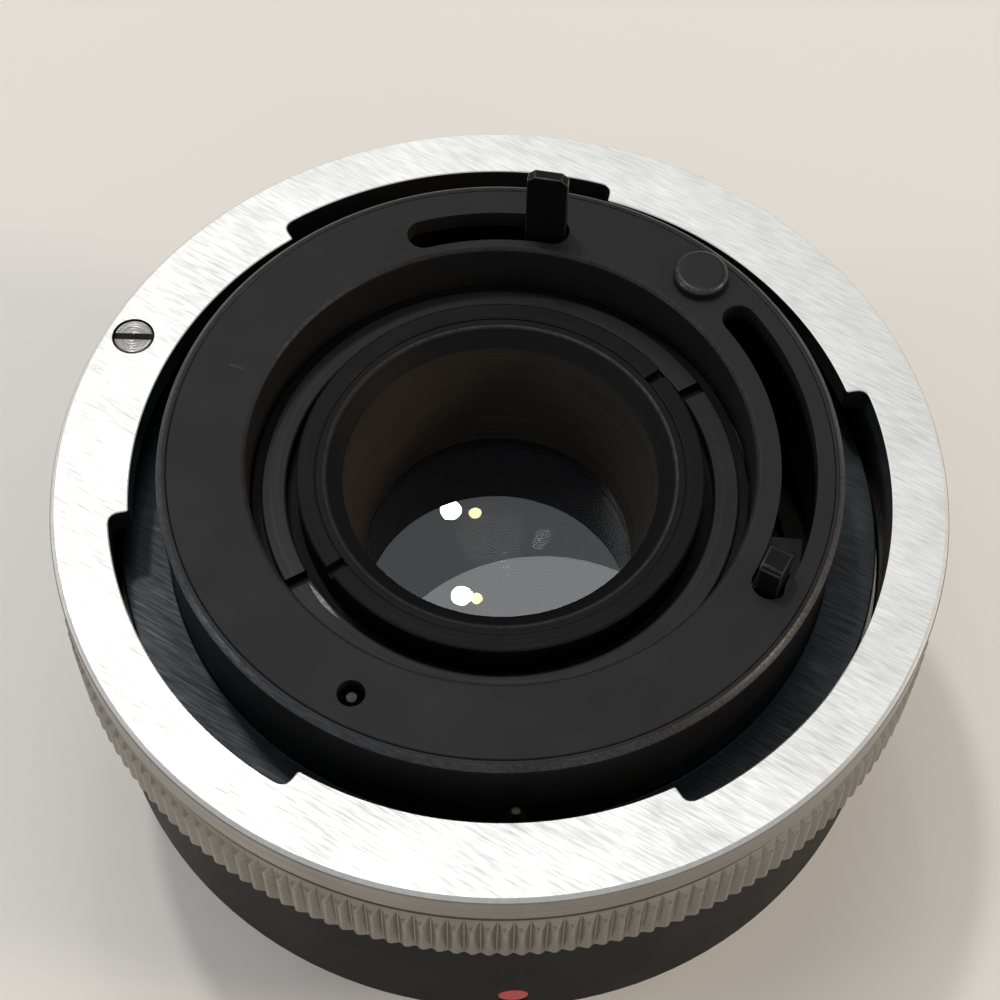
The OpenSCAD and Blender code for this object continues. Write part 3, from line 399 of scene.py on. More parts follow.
# Painted light: the bore's brown black is coloured several times lighter than the other blacks, for light
# that the deep bore does not get.
BAFFLE_BLACK_PAINTED_LIGHT = Metal(
    "baffle_flat_black", (0.046, 0.039, 0.029), (0.025, 0.021, 0.0155), (0.5, 0.66), Grain.TURNED,
    line_width=0.25, line_length=90.0, relief=0.004, metallic=0.0, specular=0.3)
BLACK_STEEL = Metal(
    "lever_black_steel", (0.015, 0.015, 0.0165), (0.008, 0.008, 0.009), (0.3, 0.44), Grain.STRAIGHT,
    line_width=0.08, line_length=2.0, grain_angle=90.0, metallic=0.2, specular=0.25)
STEEL = Metal(
    "bright_steel", (0.62, 0.61, 0.60), (0.40, 0.39, 0.385), (0.2, 0.36), Grain.SPECKLED, line_width=0.12)
SCREW_STEEL = Metal(
    "screw_turned_steel", (0.36, 0.35, 0.34), (0.12, 0.115, 0.11), (0.18, 0.28), Grain.TURNED,
    line_width=0.09, line_length=70.0, relief=0.018)
BARE_METAL = Metal(
    "scratch_bare_metal", (0.10, 0.10, 0.105), (0.055, 0.055, 0.058), (0.36, 0.48), Grain.SPECKLED,
    line_width=0.3)
PIN_STEEL = Metal(
    "tarnished_steel", (0.040, 0.040, 0.038), (0.020, 0.020, 0.019), (0.38, 0.52), Grain.SPECKLED,
    line_width=0.12)
BRASS = Metal(
    "bare_brass", (0.66, 0.48, 0.22), (0.48, 0.33, 0.14), (0.24, 0.38), Grain.TURNED,
    line_width=0.1, line_length=40.0)
WIRE = Metal(
    "spring_wire", (0.12, 0.118, 0.115), (0.06, 0.059, 0.057), (0.22, 0.34), Grain.SPECKLED,
    line_width=0.1, relief=0.0008)
INDEX_RED = Metal(
    "index_red_paint", (0.62, 0.022, 0.026), (0.48, 0.014, 0.018), (0.24, 0.34), Grain.SPECKLED,
    line_width=0.3, relief=0.002, metallic=0.0)
# Lighter edge finishes: partly wear, partly painted highlights on chamfers and bevels.
PLATE_EDGE = PLATE_BLACK.worn_and_highlit((0.036, 0.036, 0.038))
LOCK_EDGE = LOCK_BLACK.worn_and_highlit((0.036, 0.036, 0.038))
OPTIC_EDGE = RING_BLACK.worn_and_highlit((0.024, 0.024, 0.026))
BARREL_EDGE = BARREL_BLACK.worn_and_highlit((0.045, 0.043, 0.04))
STEEL_EDGE = BLACK_STEEL.worn_and_highlit((0.075, 0.075, 0.077))
REAR_GLASS = Glass("coated_glass_rear", (0.93, 0.95, 0.95), 1.7, (0.95, 0.97, 1.0))
INNER_GLASS = Glass("coated_glass_inner", (0.93, 0.95, 0.95), 1.7, (0.05, 0.05, 0.06))
TABLE_TOP = Table("table_pale", (0.89, 0.86, 0.815), (0.86, 0.83, 0.785))
HIDDEN_FINISH = {
    "friction_washer": BLACK_STEEL, "rear_spacer": RING_BLACK, "carrier_spacer": RING_BLACK,
    "aperture_carrier": BLACK_STEEL, "signal_carrier": BLACK_STEEL, "carrier_clip": BLACK_STEEL,
    "aperture_rivets": BLACK_STEEL, "signal_rivets": BLACK_STEEL, "spring_posts": PIN_STEEL,
    "exposure_bush": BRASS,
}


def polar(radius: float, angle: float) -> Point:
    """Return the plan point at a radius and an angle in degrees."""
    return radius * math.cos(math.radians(angle)), radius * math.sin(math.radians(angle))


def arc(radius: float, start: float, end: float, count: int) -> list[Point]:
    """Return plan points of an arc about the axis, one more than the count."""
    return [polar(radius, start + (end - start) * k / count) for k in range(count + 1)]


def bend(start: Vector, tip: Vector, end: Vector, steps: int) -> list[Point]:
    """Round a corner.

    Args:
        start: point before the corner.
        tip: the corner.
        end: point after the corner.
        steps: points that stand for the corner, less one.

    Returns:
        Points from start to end.
    """
    points = []
    for k in range(steps + 1):
        t = k / steps
        point = start * (1 - t) ** 2 + tip * 2 * t * (1 - t) + end * t ** 2
        points.append((point.x, point.y))
    return points


def eased(outline: Sequence[Point], radius: float = EASE, closed: bool = True) -> list[Point]:
    """Round the corners of an outline.

    Args:
        outline: corner points.
        radius: size of the rounding, cut down where an edge is short.
        closed: whether the outline's ends meet.

    Returns:
        The outline with rounded corners.
    """
    edge_share, steps = 0.45, 3
    result: list[Point] = []
    count = len(outline)
    for i, corner in enumerate(outline):
        if not closed and i in (0, count - 1):
            result.append(corner)
            continue
        here = Vector(corner)
        before = Vector(outline[i - 1]) - here
        after = Vector(outline[(i + 1) % count]) - here
        reach = min(radius, edge_share * before.length, edge_share * after.length)
        result += bend(here + before.normalized() * reach, here, here + after.normalized() * reach, steps)
    return result


def lathe(outline: Sequence[Point], segments: int = SEGMENTS, closed: bool = True) -> Mesh:
    """Turn an outline about the optical axis.

    Args:
        outline: points as radius and height.
        segments: steps round the axis.
        closed: whether the outline's ends meet.

    Returns:
        The turned mesh in metres.
    """
    mesh = bmesh.new()
    rings = []
    for radius, height in outline:
        if radius < WELD:
            rings.append([mesh.verts.new((0.0, 0.0, height * MM))] * segments)
            continue
        plan = arc(radius, 0.0, 360.0, segments)[:-1]
        rings.append([mesh.verts.new((x * MM, y * MM, height * MM)) for x, y in plan])
    pairs = list(zip(rings, rings[1:])) + ([(rings[-1], rings[0])] if closed else [])
    for lower, upper in pairs:
        for s in range(segments):
            n = (s + 1) % segments
            corners = list(dict.fromkeys((lower[s], lower[n], upper[n], upper[s])))
            if len(corners) > 2:
                mesh.faces.new(corners)
    bmesh.ops.recalc_face_normals(mesh, faces=mesh.faces)
    return mesh


def prism(plan: Sequence[Point], low: float, high: float, mesh: Mesh | None = None) -> Mesh:
    """Raise a plan outline to a closed prism.

    Args:
        plan: plan points in order.
        low: height of the lower face.
        high: height of the upper face.
        mesh: mesh in metres that the prism is added to, or None for a new one.

    Returns:
        The mesh with the prism.
    """
    mesh = bmesh.new() if mesh is None else mesh
    bottom = [mesh.verts.new((x * MM, y * MM, low * MM)) for x, y in plan]
    top = [mesh.verts.new((x * MM, y * MM, high * MM)) for x, y in plan]
    faces = [mesh.faces.new(bottom), mesh.faces.new(top)]
    for i in range(len(plan)):
        n = (i + 1) % len(plan)
        faces.append(mesh.faces.new((bottom[i], bottom[n], top[n], top[i])))
    bmesh.ops.recalc_face_normals(mesh, faces=faces)
    return mesh


def box_cutter(size: Triple, place_at: Triple, turn: float, centre: Point = (0.0, 0.0)) -> Mesh:
    """Make a closed box.

    Args:
        size: lengths along X, Y and Z before the turn.
        place_at: middle of the box from the centre before the turn.
        turn: angle about the centre.
        centre: plan point that the box is turned about.

    Returns:
        The box as a mesh in metres.
    """
    mesh = bmesh.new()
    matrix = (
        Matrix.Translation([c * MM for c in (*centre, 0.0)])
        @ Matrix.Rotation(math.radians(turn), 4, "Z")
        @ Matrix.Translation([c * MM for c in place_at])
        @ Matrix.Diagonal((*[c * MM for c in size], 1.0))
    )
    bmesh.ops.create_cube(mesh, size=1.0, matrix=matrix)
    return mesh


def round_hole(radius: float, centre: Point, low: float, high: float) -> Mesh:
    """Return a round cutter about a plan point, between two heights."""
    plan = arc(radius, 0.0, 360.0, HOLE_SEGMENTS)[:-1]
    return prism([(centre[0] + x, centre[1] + y) for x, y in plan], low, high)


def slot_plan(radius: float, width: float, start: float, end: float) -> list[Point]:
    """Outline a curved slot with round ends.

    Args:
        radius: radius of the slot's middle.
        width: width of the slot.
        start: angle of its first end.
        end: angle of its last end.

    Returns:
        Plan points in order.
    """
    side_step, end_step = 1.5, 15.0
    half = width / 2
    cap = math.degrees(math.asin(half / radius))
    first, last = start + cap, end - cap
    count = max(2, round((last - first) / side_step))
    plan = arc(radius + half, first, last, count)
    for angle, side in ((last, 0.0), (first, 180.0)):
        cx, cy = polar(radius, angle)
        for k in range(1, round(180.0 / end_step)):
            dx, dy = polar(half, angle + side + end_step * k)
            plan.append((cx + dx, cy + dy))
        if angle == last:
            plan += arc(radius - half, last, first, count)
    return plan


def sliver(name: str, path: Sequence[Point], width: float, top: float, finish: Metal) -> Piece:
    """Make a thin mark with pointed ends on a level face.

    Args:
        name: name of the piece.
        path: plan points in order.
        width: width in the middle.
        top: height of the face.
        finish: finish of the mark.

    Returns:
        The mark as an object.
    """
    last = len(path) - 1
    left: list[Point] = []
    right: list[Point] = []
    for i, (x, y) in enumerate(path):
        along = Vector(path[min(i + 1, last)]) - Vector(path[max(i - 1, 0)])
        side = Vector((-along.y, along.x)).normalized() * width / 2 * math.sin(math.pi * i / last)
        left.append((x + side.x, y + side.y))
        right.append((x - side.x, y - side.y))
    return to_object(name, prism(left + right[-2:0:-1], top - MARK_SINK, top + MARK_RISE), [finish])


def soften(mesh: Mesh, edges: Sequence[bmesh.types.BMEdge], width: float, segments: int = 2) -> None:
    """Bevel edges of a mesh to a width."""
    bmesh.ops.bevel(mesh, geom=edges, offset=width * MM, segments=segments, profile=BEVEL_PROFILE,
                    affect="EDGES", clamp_overlap=True)


def rub_and_highlight(mesh: Mesh, low: float, high: float) -> Mesh:
    """Give the faces that lean up between two limits the second material slot, whose lighter finish is partly
    wear and partly a painted highlight on the chamfers.

    Args:
        mesh: mesh to mark.
        low: least upward share of the normal.
        high: greatest upward share of the normal.

    Returns:
        The same mesh.
    """
    for face in mesh.faces:
        face.material_index = int(low < face.normal.z < high)
    return mesh


def node_mesh(node: str) -> Mesh:
    """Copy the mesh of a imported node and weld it.

    Args:
        node: name of the node.

    Returns:
        The welded mesh in metres.
    """
    mesh = bmesh.new()
    mesh.from_mesh(bpy.data.objects[node].data)
    bmesh.ops.remove_doubles(mesh, verts=mesh.verts, dist=WELD)
    return mesh


def shade(data: bpy.types.Mesh) -> None:
    """Shade a mesh smooth, with its sharp edges and level faces kept.

    Args:
        data: mesh to shade.
    """
    data.polygons.foreach_set("use_smooth", [True] * len(data.polygons))
    data.set_sharp_from_angle(angle=math.radians(SHARP_ANGLE))
    data.polygons.foreach_set("use_smooth", [abs(face.normal.z) < LEVEL for face in data.polygons])
    data.update()


def add_object(name: str, data: bpy.types.ID) -> Piece:
    """Add an object to the scene.

    Args:
        name: name of the object.
        data: its mesh, light or camera.

    Returns:
        The new object.
    """
    piece = bpy.data.objects.new(name, data)
    bpy.context.scene.collection.objects.link(piece)
    return piece


def to_object(name: str, mesh: Mesh, finishes: Sequence[Metal | Glass]) -> Piece:
    """Turn a working mesh into a smooth object of the scene.

    Args:
        name: name of the piece.
        mesh: working mesh, which is freed.
        finishes: finishes of the mesh's material slots.

    Returns:
        The new object.
    """
    data = bpy.data.meshes.new(name)
    mesh.to_mesh(data)
    mesh.free()
    for finish in finishes:
        data.materials.append(finish.material())
    shade(data)
    return add_object(name, data)


def flatten(piece: Piece) -> None:
    """Apply a piece's modifiers, so that the result is its mesh.

    Args:
        piece: object with the modifiers.
    """
    bpy.context.view_layer.update()
    graph = bpy.context.evaluated_depsgraph_get()
    data = bpy.data.meshes.new_from_object(piece.evaluated_get(graph))
    piece.modifiers.clear()
    piece.data = data
    data.name = piece.name


def carve(piece: Piece, cutters: Iterable[Mesh], finish: Metal) -> Piece:
    """Cut shapes out of a piece.

    Args:
        piece: object to cut.
        cutters: closed meshes of what goes.
        finish: finish of the cut walls.

    Returns:
        The cut object.
    """
    tools = []
    for i, cutter in enumerate(cutters):
        tool = to_object(f"{piece.name}_cut{i}", cutter, [finish])
        tools.append(tool)
        modifier = piece.modifiers.new(tool.name, "BOOLEAN")
        modifier.operation = "DIFFERENCE"
        modifier.solver = "EXACT"
        modifier.material_mode = "TRANSFER"
        modifier.object = tool
    flatten(piece)
    for tool in tools:
        bpy.data.objects.remove(tool)
    shade(piece.data)
    return piece


def place(piece: Piece, slot: str, *nodes: str, body: Body = Body.HOUSING) -> None:
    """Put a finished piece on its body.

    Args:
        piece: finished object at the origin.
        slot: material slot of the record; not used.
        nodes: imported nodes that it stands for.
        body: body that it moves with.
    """
    modifier = piece.modifiers.new("flat_faces_stay_flat", "WEIGHTED_NORMAL")
    modifier.keep_sharp = True
    flatten(piece)
    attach(piece, body.value)
    if nodes:
        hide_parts(*nodes)
    LOG.info("%s on %s for %s", piece.name, body.value, ", ".join(nodes) or "detail")


@dataclass(frozen=True)
class Copied:
    """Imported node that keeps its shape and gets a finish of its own."""

    node: str
    finish: Metal
    slot: str
    edge: float = 0.0
    wear_and_highlight: Metal | None = None
    body: Body = Body.HOUSING
    name: str = ""
    slope: tuple[float, float] = (0.25, 0.97)

    def build(self) -> None:
        """Copy the node with merged triangles and softened edges, and place it."""
        mesh = node_mesh(self.node)
        bmesh.ops.dissolve_limit(mesh, angle_limit=math.radians(MERGE_ANGLE), verts=mesh.verts,
                                 edges=mesh.edges)
        if self.edge:
            limit = math.radians(SHARP_ANGLE)
            soften(mesh, [e for e in mesh.edges if len(e.link_faces) == 2 and e.calc_face_angle(0.0) > limit],
                   self.edge)
        mesh.normal_update()
        # Sloping faces get the lighter edge finish: partly wear, partly a painted highlight.
        low, high = self.slope
        for face in mesh.faces:
            face.material_index = int(self.wear_and_highlight is not None and low < abs(face.normal.z) < high)
        name = self.name or f"{self.node}_piece"
        piece = to_object(name, mesh, [self.finish, self.wear_and_highlight or self.finish])
        place(piece, self.slot, self.node, body=self.body)


class NodeTool(NodeMaker):
    """Geometry Nodes tree that copies one shape to the points of a mesh and turns each copy about Z."""

    def __init__(self, name: str) -> None:
        """Build the tree with its named inputs.

        Args:
            name: name of the tree.
        """
        self.tree = bpy.data.node_groups.new(name, "GeometryNodeTree")
        face = self.tree.interface
        face.new_socket("Geometry", in_out="INPUT", socket_type="NodeSocketGeometry")
        self.inputs = {
            label: face.new_socket(label, in_out="INPUT", socket_type=kind).identifier
            for label, kind in (("Shape", "NodeSocketObject"), ("Material", "NodeSocketMaterial"))
        }
        face.new_socket("Geometry", in_out="OUTPUT", socket_type="NodeSocketGeometry")
        source = self.add("NodeGroupInput").outputs
        shape = self.add("GeometryNodeObjectInfo", {"Object": source["Shape"]})
        turn = self.add("GeometryNodeInputNamedAttribute", {"Name": "turn"}, data_type="FLOAT")
        angle = next(s for s in turn.outputs if s.enabled and s.name == "Attribute")
        euler = self.add("ShaderNodeCombineXYZ", {"Z": angle})
        rotation = self.add("FunctionNodeEulerToRotation", {"Euler": euler.outputs["Vector"]})
        copies = self.add("GeometryNodeInstanceOnPoints", {
            "Points": source["Geometry"], "Instance": shape.outputs["Geometry"],
            "Rotation": rotation.outputs["Rotation"],
        })
        solid = self.add("GeometryNodeRealizeInstances", {"Geometry": copies.outputs["Instances"]})
        finish = self.add("GeometryNodeSetMaterial", {
            "Geometry": solid.outputs["Geometry"], "Material": source["Material"],
        })
        self.add("NodeGroupOutput", {"Geometry": finish.outputs["Geometry"]})

    def run(self, name: str, shape: Mesh, spots: Sequence[Spot], finish: Metal) -> Piece:
        """Copy a shape to spots.

        Args:
            name: name of the piece.
            shape: mesh to copy, which is freed.
            spots: X, Y, Z and turn of each copy.
            finish: finish of the copies.

        Returns:
            The piece as a plain mesh.
        """
        pattern = to_object(f"{name}_pattern", shape, [finish])
        data = bpy.data.meshes.new(name)
        data.from_pydata([[c * MM for c in spot[:3]] for spot in spots], [], [])
        turns = data.attributes.new("turn", "FLOAT", "POINT")
        turns.data.foreach_set("value", [math.radians(turn) for *_, turn in spots])
        piece = add_object(name, data)
        modifier = piece.modifiers.new("copies", "NODES")
        modifier.node_group = self.tree
        modifier[self.inputs["Shape"]] = pattern
        modifier[self.inputs["Material"]] = finish.material()
        flatten(piece)
        bpy.data.objects.remove(pattern)
        shade(piece.data)
        return piece


class Span:
    """Heights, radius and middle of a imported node, in millimetres."""

    def __init__(self, node: str) -> None:
        """Read the node's box.

        Args:
            node: name of the node.
        """
        low, high = (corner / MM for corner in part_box(node))
        self.foot, self.top, self.radius = low.z, high.z, high.x
        self.middle = ((low.x + high.x) / 2, (low.y + high.y) / 2)


@dataclass
class BreechRing:
    """Silver ring with three lugs, a knurled grip and its stop screw."""

    tool: NodeTool
    lug_from: Triple = (17.5, 128.0, 241.0)
    lug_to: Triple = (73.0, 188.0, 297.0)
    lug_r: float = 26.0
    gap_r: float = 27.45
    bore_r: float = 27.7
    hub_r: float = 25.95
    lip_h: float = 2.2
    lug_t: float = 2.0
    wall_lean: float = 0.25
    lug_corner: float = 0.22
    gap_corner: float = 0.8
    corner_reach: float = 2.2
    edge: float = 0.35
    inner_edge: float = 0.12
    inner_share: float = 0.3
    land_h: float = 2.8
    groove_h: float = 1.2
    groove_depth: float = 0.5
    knurl_rise: float = 0.2
    knurl_depth: float = 0.45
    knurl_end: float = 0.8
    teeth: int = 180
    tooth_sink: float = 0.04
    tooth_fill: float = 0.96
    crest: float = 0.12
    crest_edge: float = 0.05
    screw_segments: int = 64
    screw_r: float = 1.45
    screw_h: float = 1.2
    screw_sink: float = 0.02
    screw_gap: float = 0.1
    screw_slot: float = 0.55
    screw_turn: float = 0.0
    shank_r: float = 0.9
    dog_r: float = 0.45

    def __post_init__(self) -> None:
        """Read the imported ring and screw."""
        self.box = Span("breech_ring")
        self.screw = Span("ring_stop_screw")

    def opening(self) -> list[Point]:
        """Outline the opening with its lugs and gaps.

        Returns:
            Plan points in order of angle.
        """
        lug_free = math.degrees(self.corner_reach * self.lug_corner / self.lug_r)
        gap_free = math.degrees(self.corner_reach * self.gap_corner / self.gap_r)
        next_lugs = (*self.lug_from[1:], self.lug_from[0] + 360.0)
        plan: list[Point] = []
        for start, end, after in zip(self.lug_from, self.lug_to, next_lugs):
            gap_start, gap_end = end + self.wall_lean, after - self.wall_lean
            lug_end, lug_start = (self.lug_r, end), (self.lug_r, after)
            gap_in, gap_out = (self.gap_r, gap_start), (self.gap_r, gap_end)
            plan += self.even_arc(self.lug_r, start + lug_free, end - lug_free)
            plan += self.corner(lug_end, gap_in, self.lug_corner, -lug_free)
            plan += self.corner(gap_in, lug_end, self.gap_corner, gap_free)
            plan += self.even_arc(self.gap_r, gap_start + gap_free, gap_end - gap_free)
            plan += self.corner(gap_out, lug_start, self.gap_corner, -gap_free)
            plan += self.corner(lug_start, gap_out, self.lug_corner, lug_free)
        return plan

    @staticmethod
    def even_arc(radius: float, start: float, end: float) -> list[Point]:
        """Return plan points of an arc at steps of about a degree."""
        return arc(radius, start, end, max(2, round(end - start)))

    @staticmethod
    def corner(tip_at: Point, far_at: Point, size: float, back: float) -> list[Point]:
        """Round one corner of the opening.

        Args:
            tip_at: radius and angle of the corner.
            far_at: radius and angle of the wall's other end.
            size: size of the rounding.
            back: angle from the corner to its arc's end, negative where the arc comes first.

        Returns:
            Plan points in order.
        """
        steps = 5
        tip = Vector(polar(*tip_at))
        wall = tip + (Vector(polar(*far_at)) - tip).normalized() * size
        along = tip + (Vector(polar(tip_at[0], tip_at[1] + back)) - tip).normalized() * size
        return bend(along, tip, wall, steps) if back < 0.0 else bend(wall, tip, along, steps)

    def section(self) -> list[Point]:
        """Outline the part of the ring's section that is the same all round.

        Returns:
            Radius and height of each point, from the lug's underside round to the face.
        """
        face_z, ring_z = self.box.top, self.box.foot
        ring_r = self.box.radius - self.knurl_rise
        root_r = self.box.radius - self.knurl_depth
        groove_r = ring_r - self.groove_depth
        land_z = face_z - self.land_h
        knurl_z = land_z - self.groove_h
        lip_z = ring_z + self.lip_h
        outline = [
            (self.bore_r, face_z - self.lug_t), (self.bore_r, lip_z), (self.hub_r, lip_z),
            (self.hub_r, ring_z), (root_r, ring_z), (root_r, knurl_z), (groove_r, knurl_z),
            (groove_r, land_z), (ring_r, land_z), (ring_r, face_z - self.edge), (ring_r - self.edge, face_z),
        ]
        return eased(outline, closed=False)

    @staticmethod
    def finish_of(row: int, fixed: int) -> int:
        """Return the material slot of a row of faces.

        Args:
            row: number of the row, counted along the section.
            fixed: number of points in the section's fixed part.

        Returns:
            0 for the face, 1 for the outside with its painted shade, 2 for the edges of the face with their
            painted highlight and 3 for the inside.
        """
        inner_rows = 4
        if row == fixed - 1:
            return 0
        if row in (fixed - 2, fixed, fixed + 1):
            return 2
        return 3 if row < inner_rows or row > fixed else 1

    def build_ring(self) -> Piece:
        """Make the ring without its teeth.

        Returns:
            The ring with the hole for its screw.
        """
        face_z = self.box.top
        plan = self.opening()
        section = self.section()
        eased_edge = self.inner_edge * self.inner_share
        mesh = bmesh.new()
        columns = []
        for i, point in enumerate(plan):
            here = Vector(point)
            angle = math.degrees(math.atan2(here.y, here.x))
            tangent = Vector(plan[(i + 1) % len(plan)]) - Vector(plan[i - 1])
            inward = Vector((-tangent.y, tangent.x)).normalized()
            column = [(*polar(r, angle), z) for r, z in section]
            column += [
                (*(here - inward * self.inner_edge), face_z),
                (*(here - inward * eased_edge), face_z - eased_edge),
                (*here, face_z - self.inner_edge), (*here, face_z - self.lug_t),
            ]
            columns.append([mesh.verts.new([c * MM for c in p]) for p in column])
        rows = len(columns[0])
        for column, after in zip(columns, columns[1:] + columns[:1]):
            for k in range(rows):
                n = (k + 1) % rows
                face = mesh.faces.new((column[k], after[k], after[n], column[n]))
                face.material_index = self.finish_of(k, len(section))
        bmesh.ops.recalc_face_normals(mesh, faces=mesh.faces)
        ring = to_object("ring_body", mesh, [RING_FACE, RING_SIDE_PAINTED_SHADE, RING_EDGE_HIGHLIGHT, RING_INNER])
        hole = round_hole(self.screw_r + self.screw_gap, self.screw.middle, face_z - self.screw_h,
                          face_z + CUT_FREE)
        return carve(ring, [hole], RING_SIDE_PAINTED_SHADE)

    def build_teeth(self) -> Piece:
        """Copy one hipped tooth round the ring.

        Returns:
            The knurl.
        """
        tip_r = self.box.radius
        low, high = self.box.foot, self.box.top - self.land_h - self.groove_h
        mesh = bmesh.new()
        rings = []
        for radius, half, end in (
            (tip_r - self.knurl_depth - self.tooth_sink, math.pi * tip_r / self.teeth * self.tooth_fill, 0.0),
            (tip_r, self.crest, self.knurl_end),
        ):
            sides = ((-half, low + end), (half, low + end), (half, high - end), (-half, high - end))
            rings.append([mesh.verts.new((radius * MM, y * MM, z * MM)) for y, z in sides])
            mesh.faces.new(rings[-1])
        foot, ridge = rings
        for i in range(4):
            n = (i + 1) % 4
            mesh.faces.new((foot[i], foot[n], ridge[n], ridge[i]))
        bmesh.ops.recalc_face_normals(mesh, faces=mesh.faces)
        soften(mesh, [*ridge[0].link_edges, *ridge[2].link_edges], self.crest_edge, 1)
        spots = [(0.0, 0.0, 0.0, 360.0 * k / self.teeth) for k in range(self.teeth)]
        return self.tool.run("ring_knurl", mesh, spots, RING_SIDE_PAINTED_SHADE)

    def build_screw(self) -> Piece:
        """Turn the stop screw with its shank and dog point, and slot it.

        Returns:
            The screw.
        """
        face_z, ring_z, tip_z = self.box.top, self.box.foot, self.screw.foot
        head_z, neck_z = face_z - self.screw_sink, face_z - self.screw_h
        x, y = self.screw.middle
        outline = [
            (0.0, head_z), (self.screw_r, head_z), (self.screw_r, neck_z), (self.shank_r, neck_z),
            (self.shank_r, ring_z), (self.dog_r, ring_z), (self.dog_r, tip_z), (0.0, tip_z),
        ]
        mesh = lathe(eased(outline, closed=False), self.screw_segments, closed=False)
        bmesh.ops.translate(mesh, verts=mesh.verts, vec=(x * MM, y * MM, 0.0))
        finish = replace(SCREW_STEEL, centre=(x, y))
        screw = to_object("ring_stop_screw_piece", mesh, [finish])
        size = (4 * self.screw_r, self.screw_slot, self.screw_h)
        return carve(screw, [box_cutter(size, (0.0, 0.0, face_z), self.screw_turn, (x, y))], finish)

    def build(self) -> None:
        """Make and place all pieces of the ring."""
        place(self.build_ring(), "satin_chrome", "breech_ring", body=Body.RING)
        place(self.build_teeth(), "satin_chrome", body=Body.RING)
        place(self.build_screw(), "steel", "ring_stop_screw", body=Body.RING)


@dataclass
class SunkScrew:
    """Countersunk slotted screw of the two mounts."""

    head_r: float = 0.95
    shank_r: float = 0.55
    sink: float = 0.6
    length: float = 4.6
    slot_w: float = 0.4
    slot_h: float = 0.35
    edge: float = 0.06
    segments: int = 48

    def build(self, tool: NodeTool, name: str, spots: Sequence[Spot], finish: Metal, way: float) -> Piece:
        """Make one screw and copy it to its places.

        Args:
            tool: tree that makes the copies.
            name: name of the piece.
            spots: X, Y and Z of each head's face, and its turn.
            finish: finish of the screws.
            way: 1 where the heads face the camera side, and -1 where they face the lens side.

        Returns:
            The screws as one piece.
        """
        neck, tip = -way * self.sink, -way * self.length
        outline = [(0.0, 0.0), (self.head_r, 0.0), (self.shank_r, neck), (self.shank_r, tip), (0.0, tip)]
        mesh = lathe(eased(outline, self.edge, closed=False), self.segments, closed=False)
        screw = to_object(f"{name}_one", mesh, [finish])
        size = (4 * self.head_r, self.slot_w, 2 * self.slot_h)
        carve(screw, [box_cutter(size, (0.0, 0.0, 0.0), 0.0)], finish)
        mesh = bmesh.new()
        mesh.from_mesh(screw.data)
        bpy.data.objects.remove(screw)
        return tool.run(name, mesh, spots, finish)


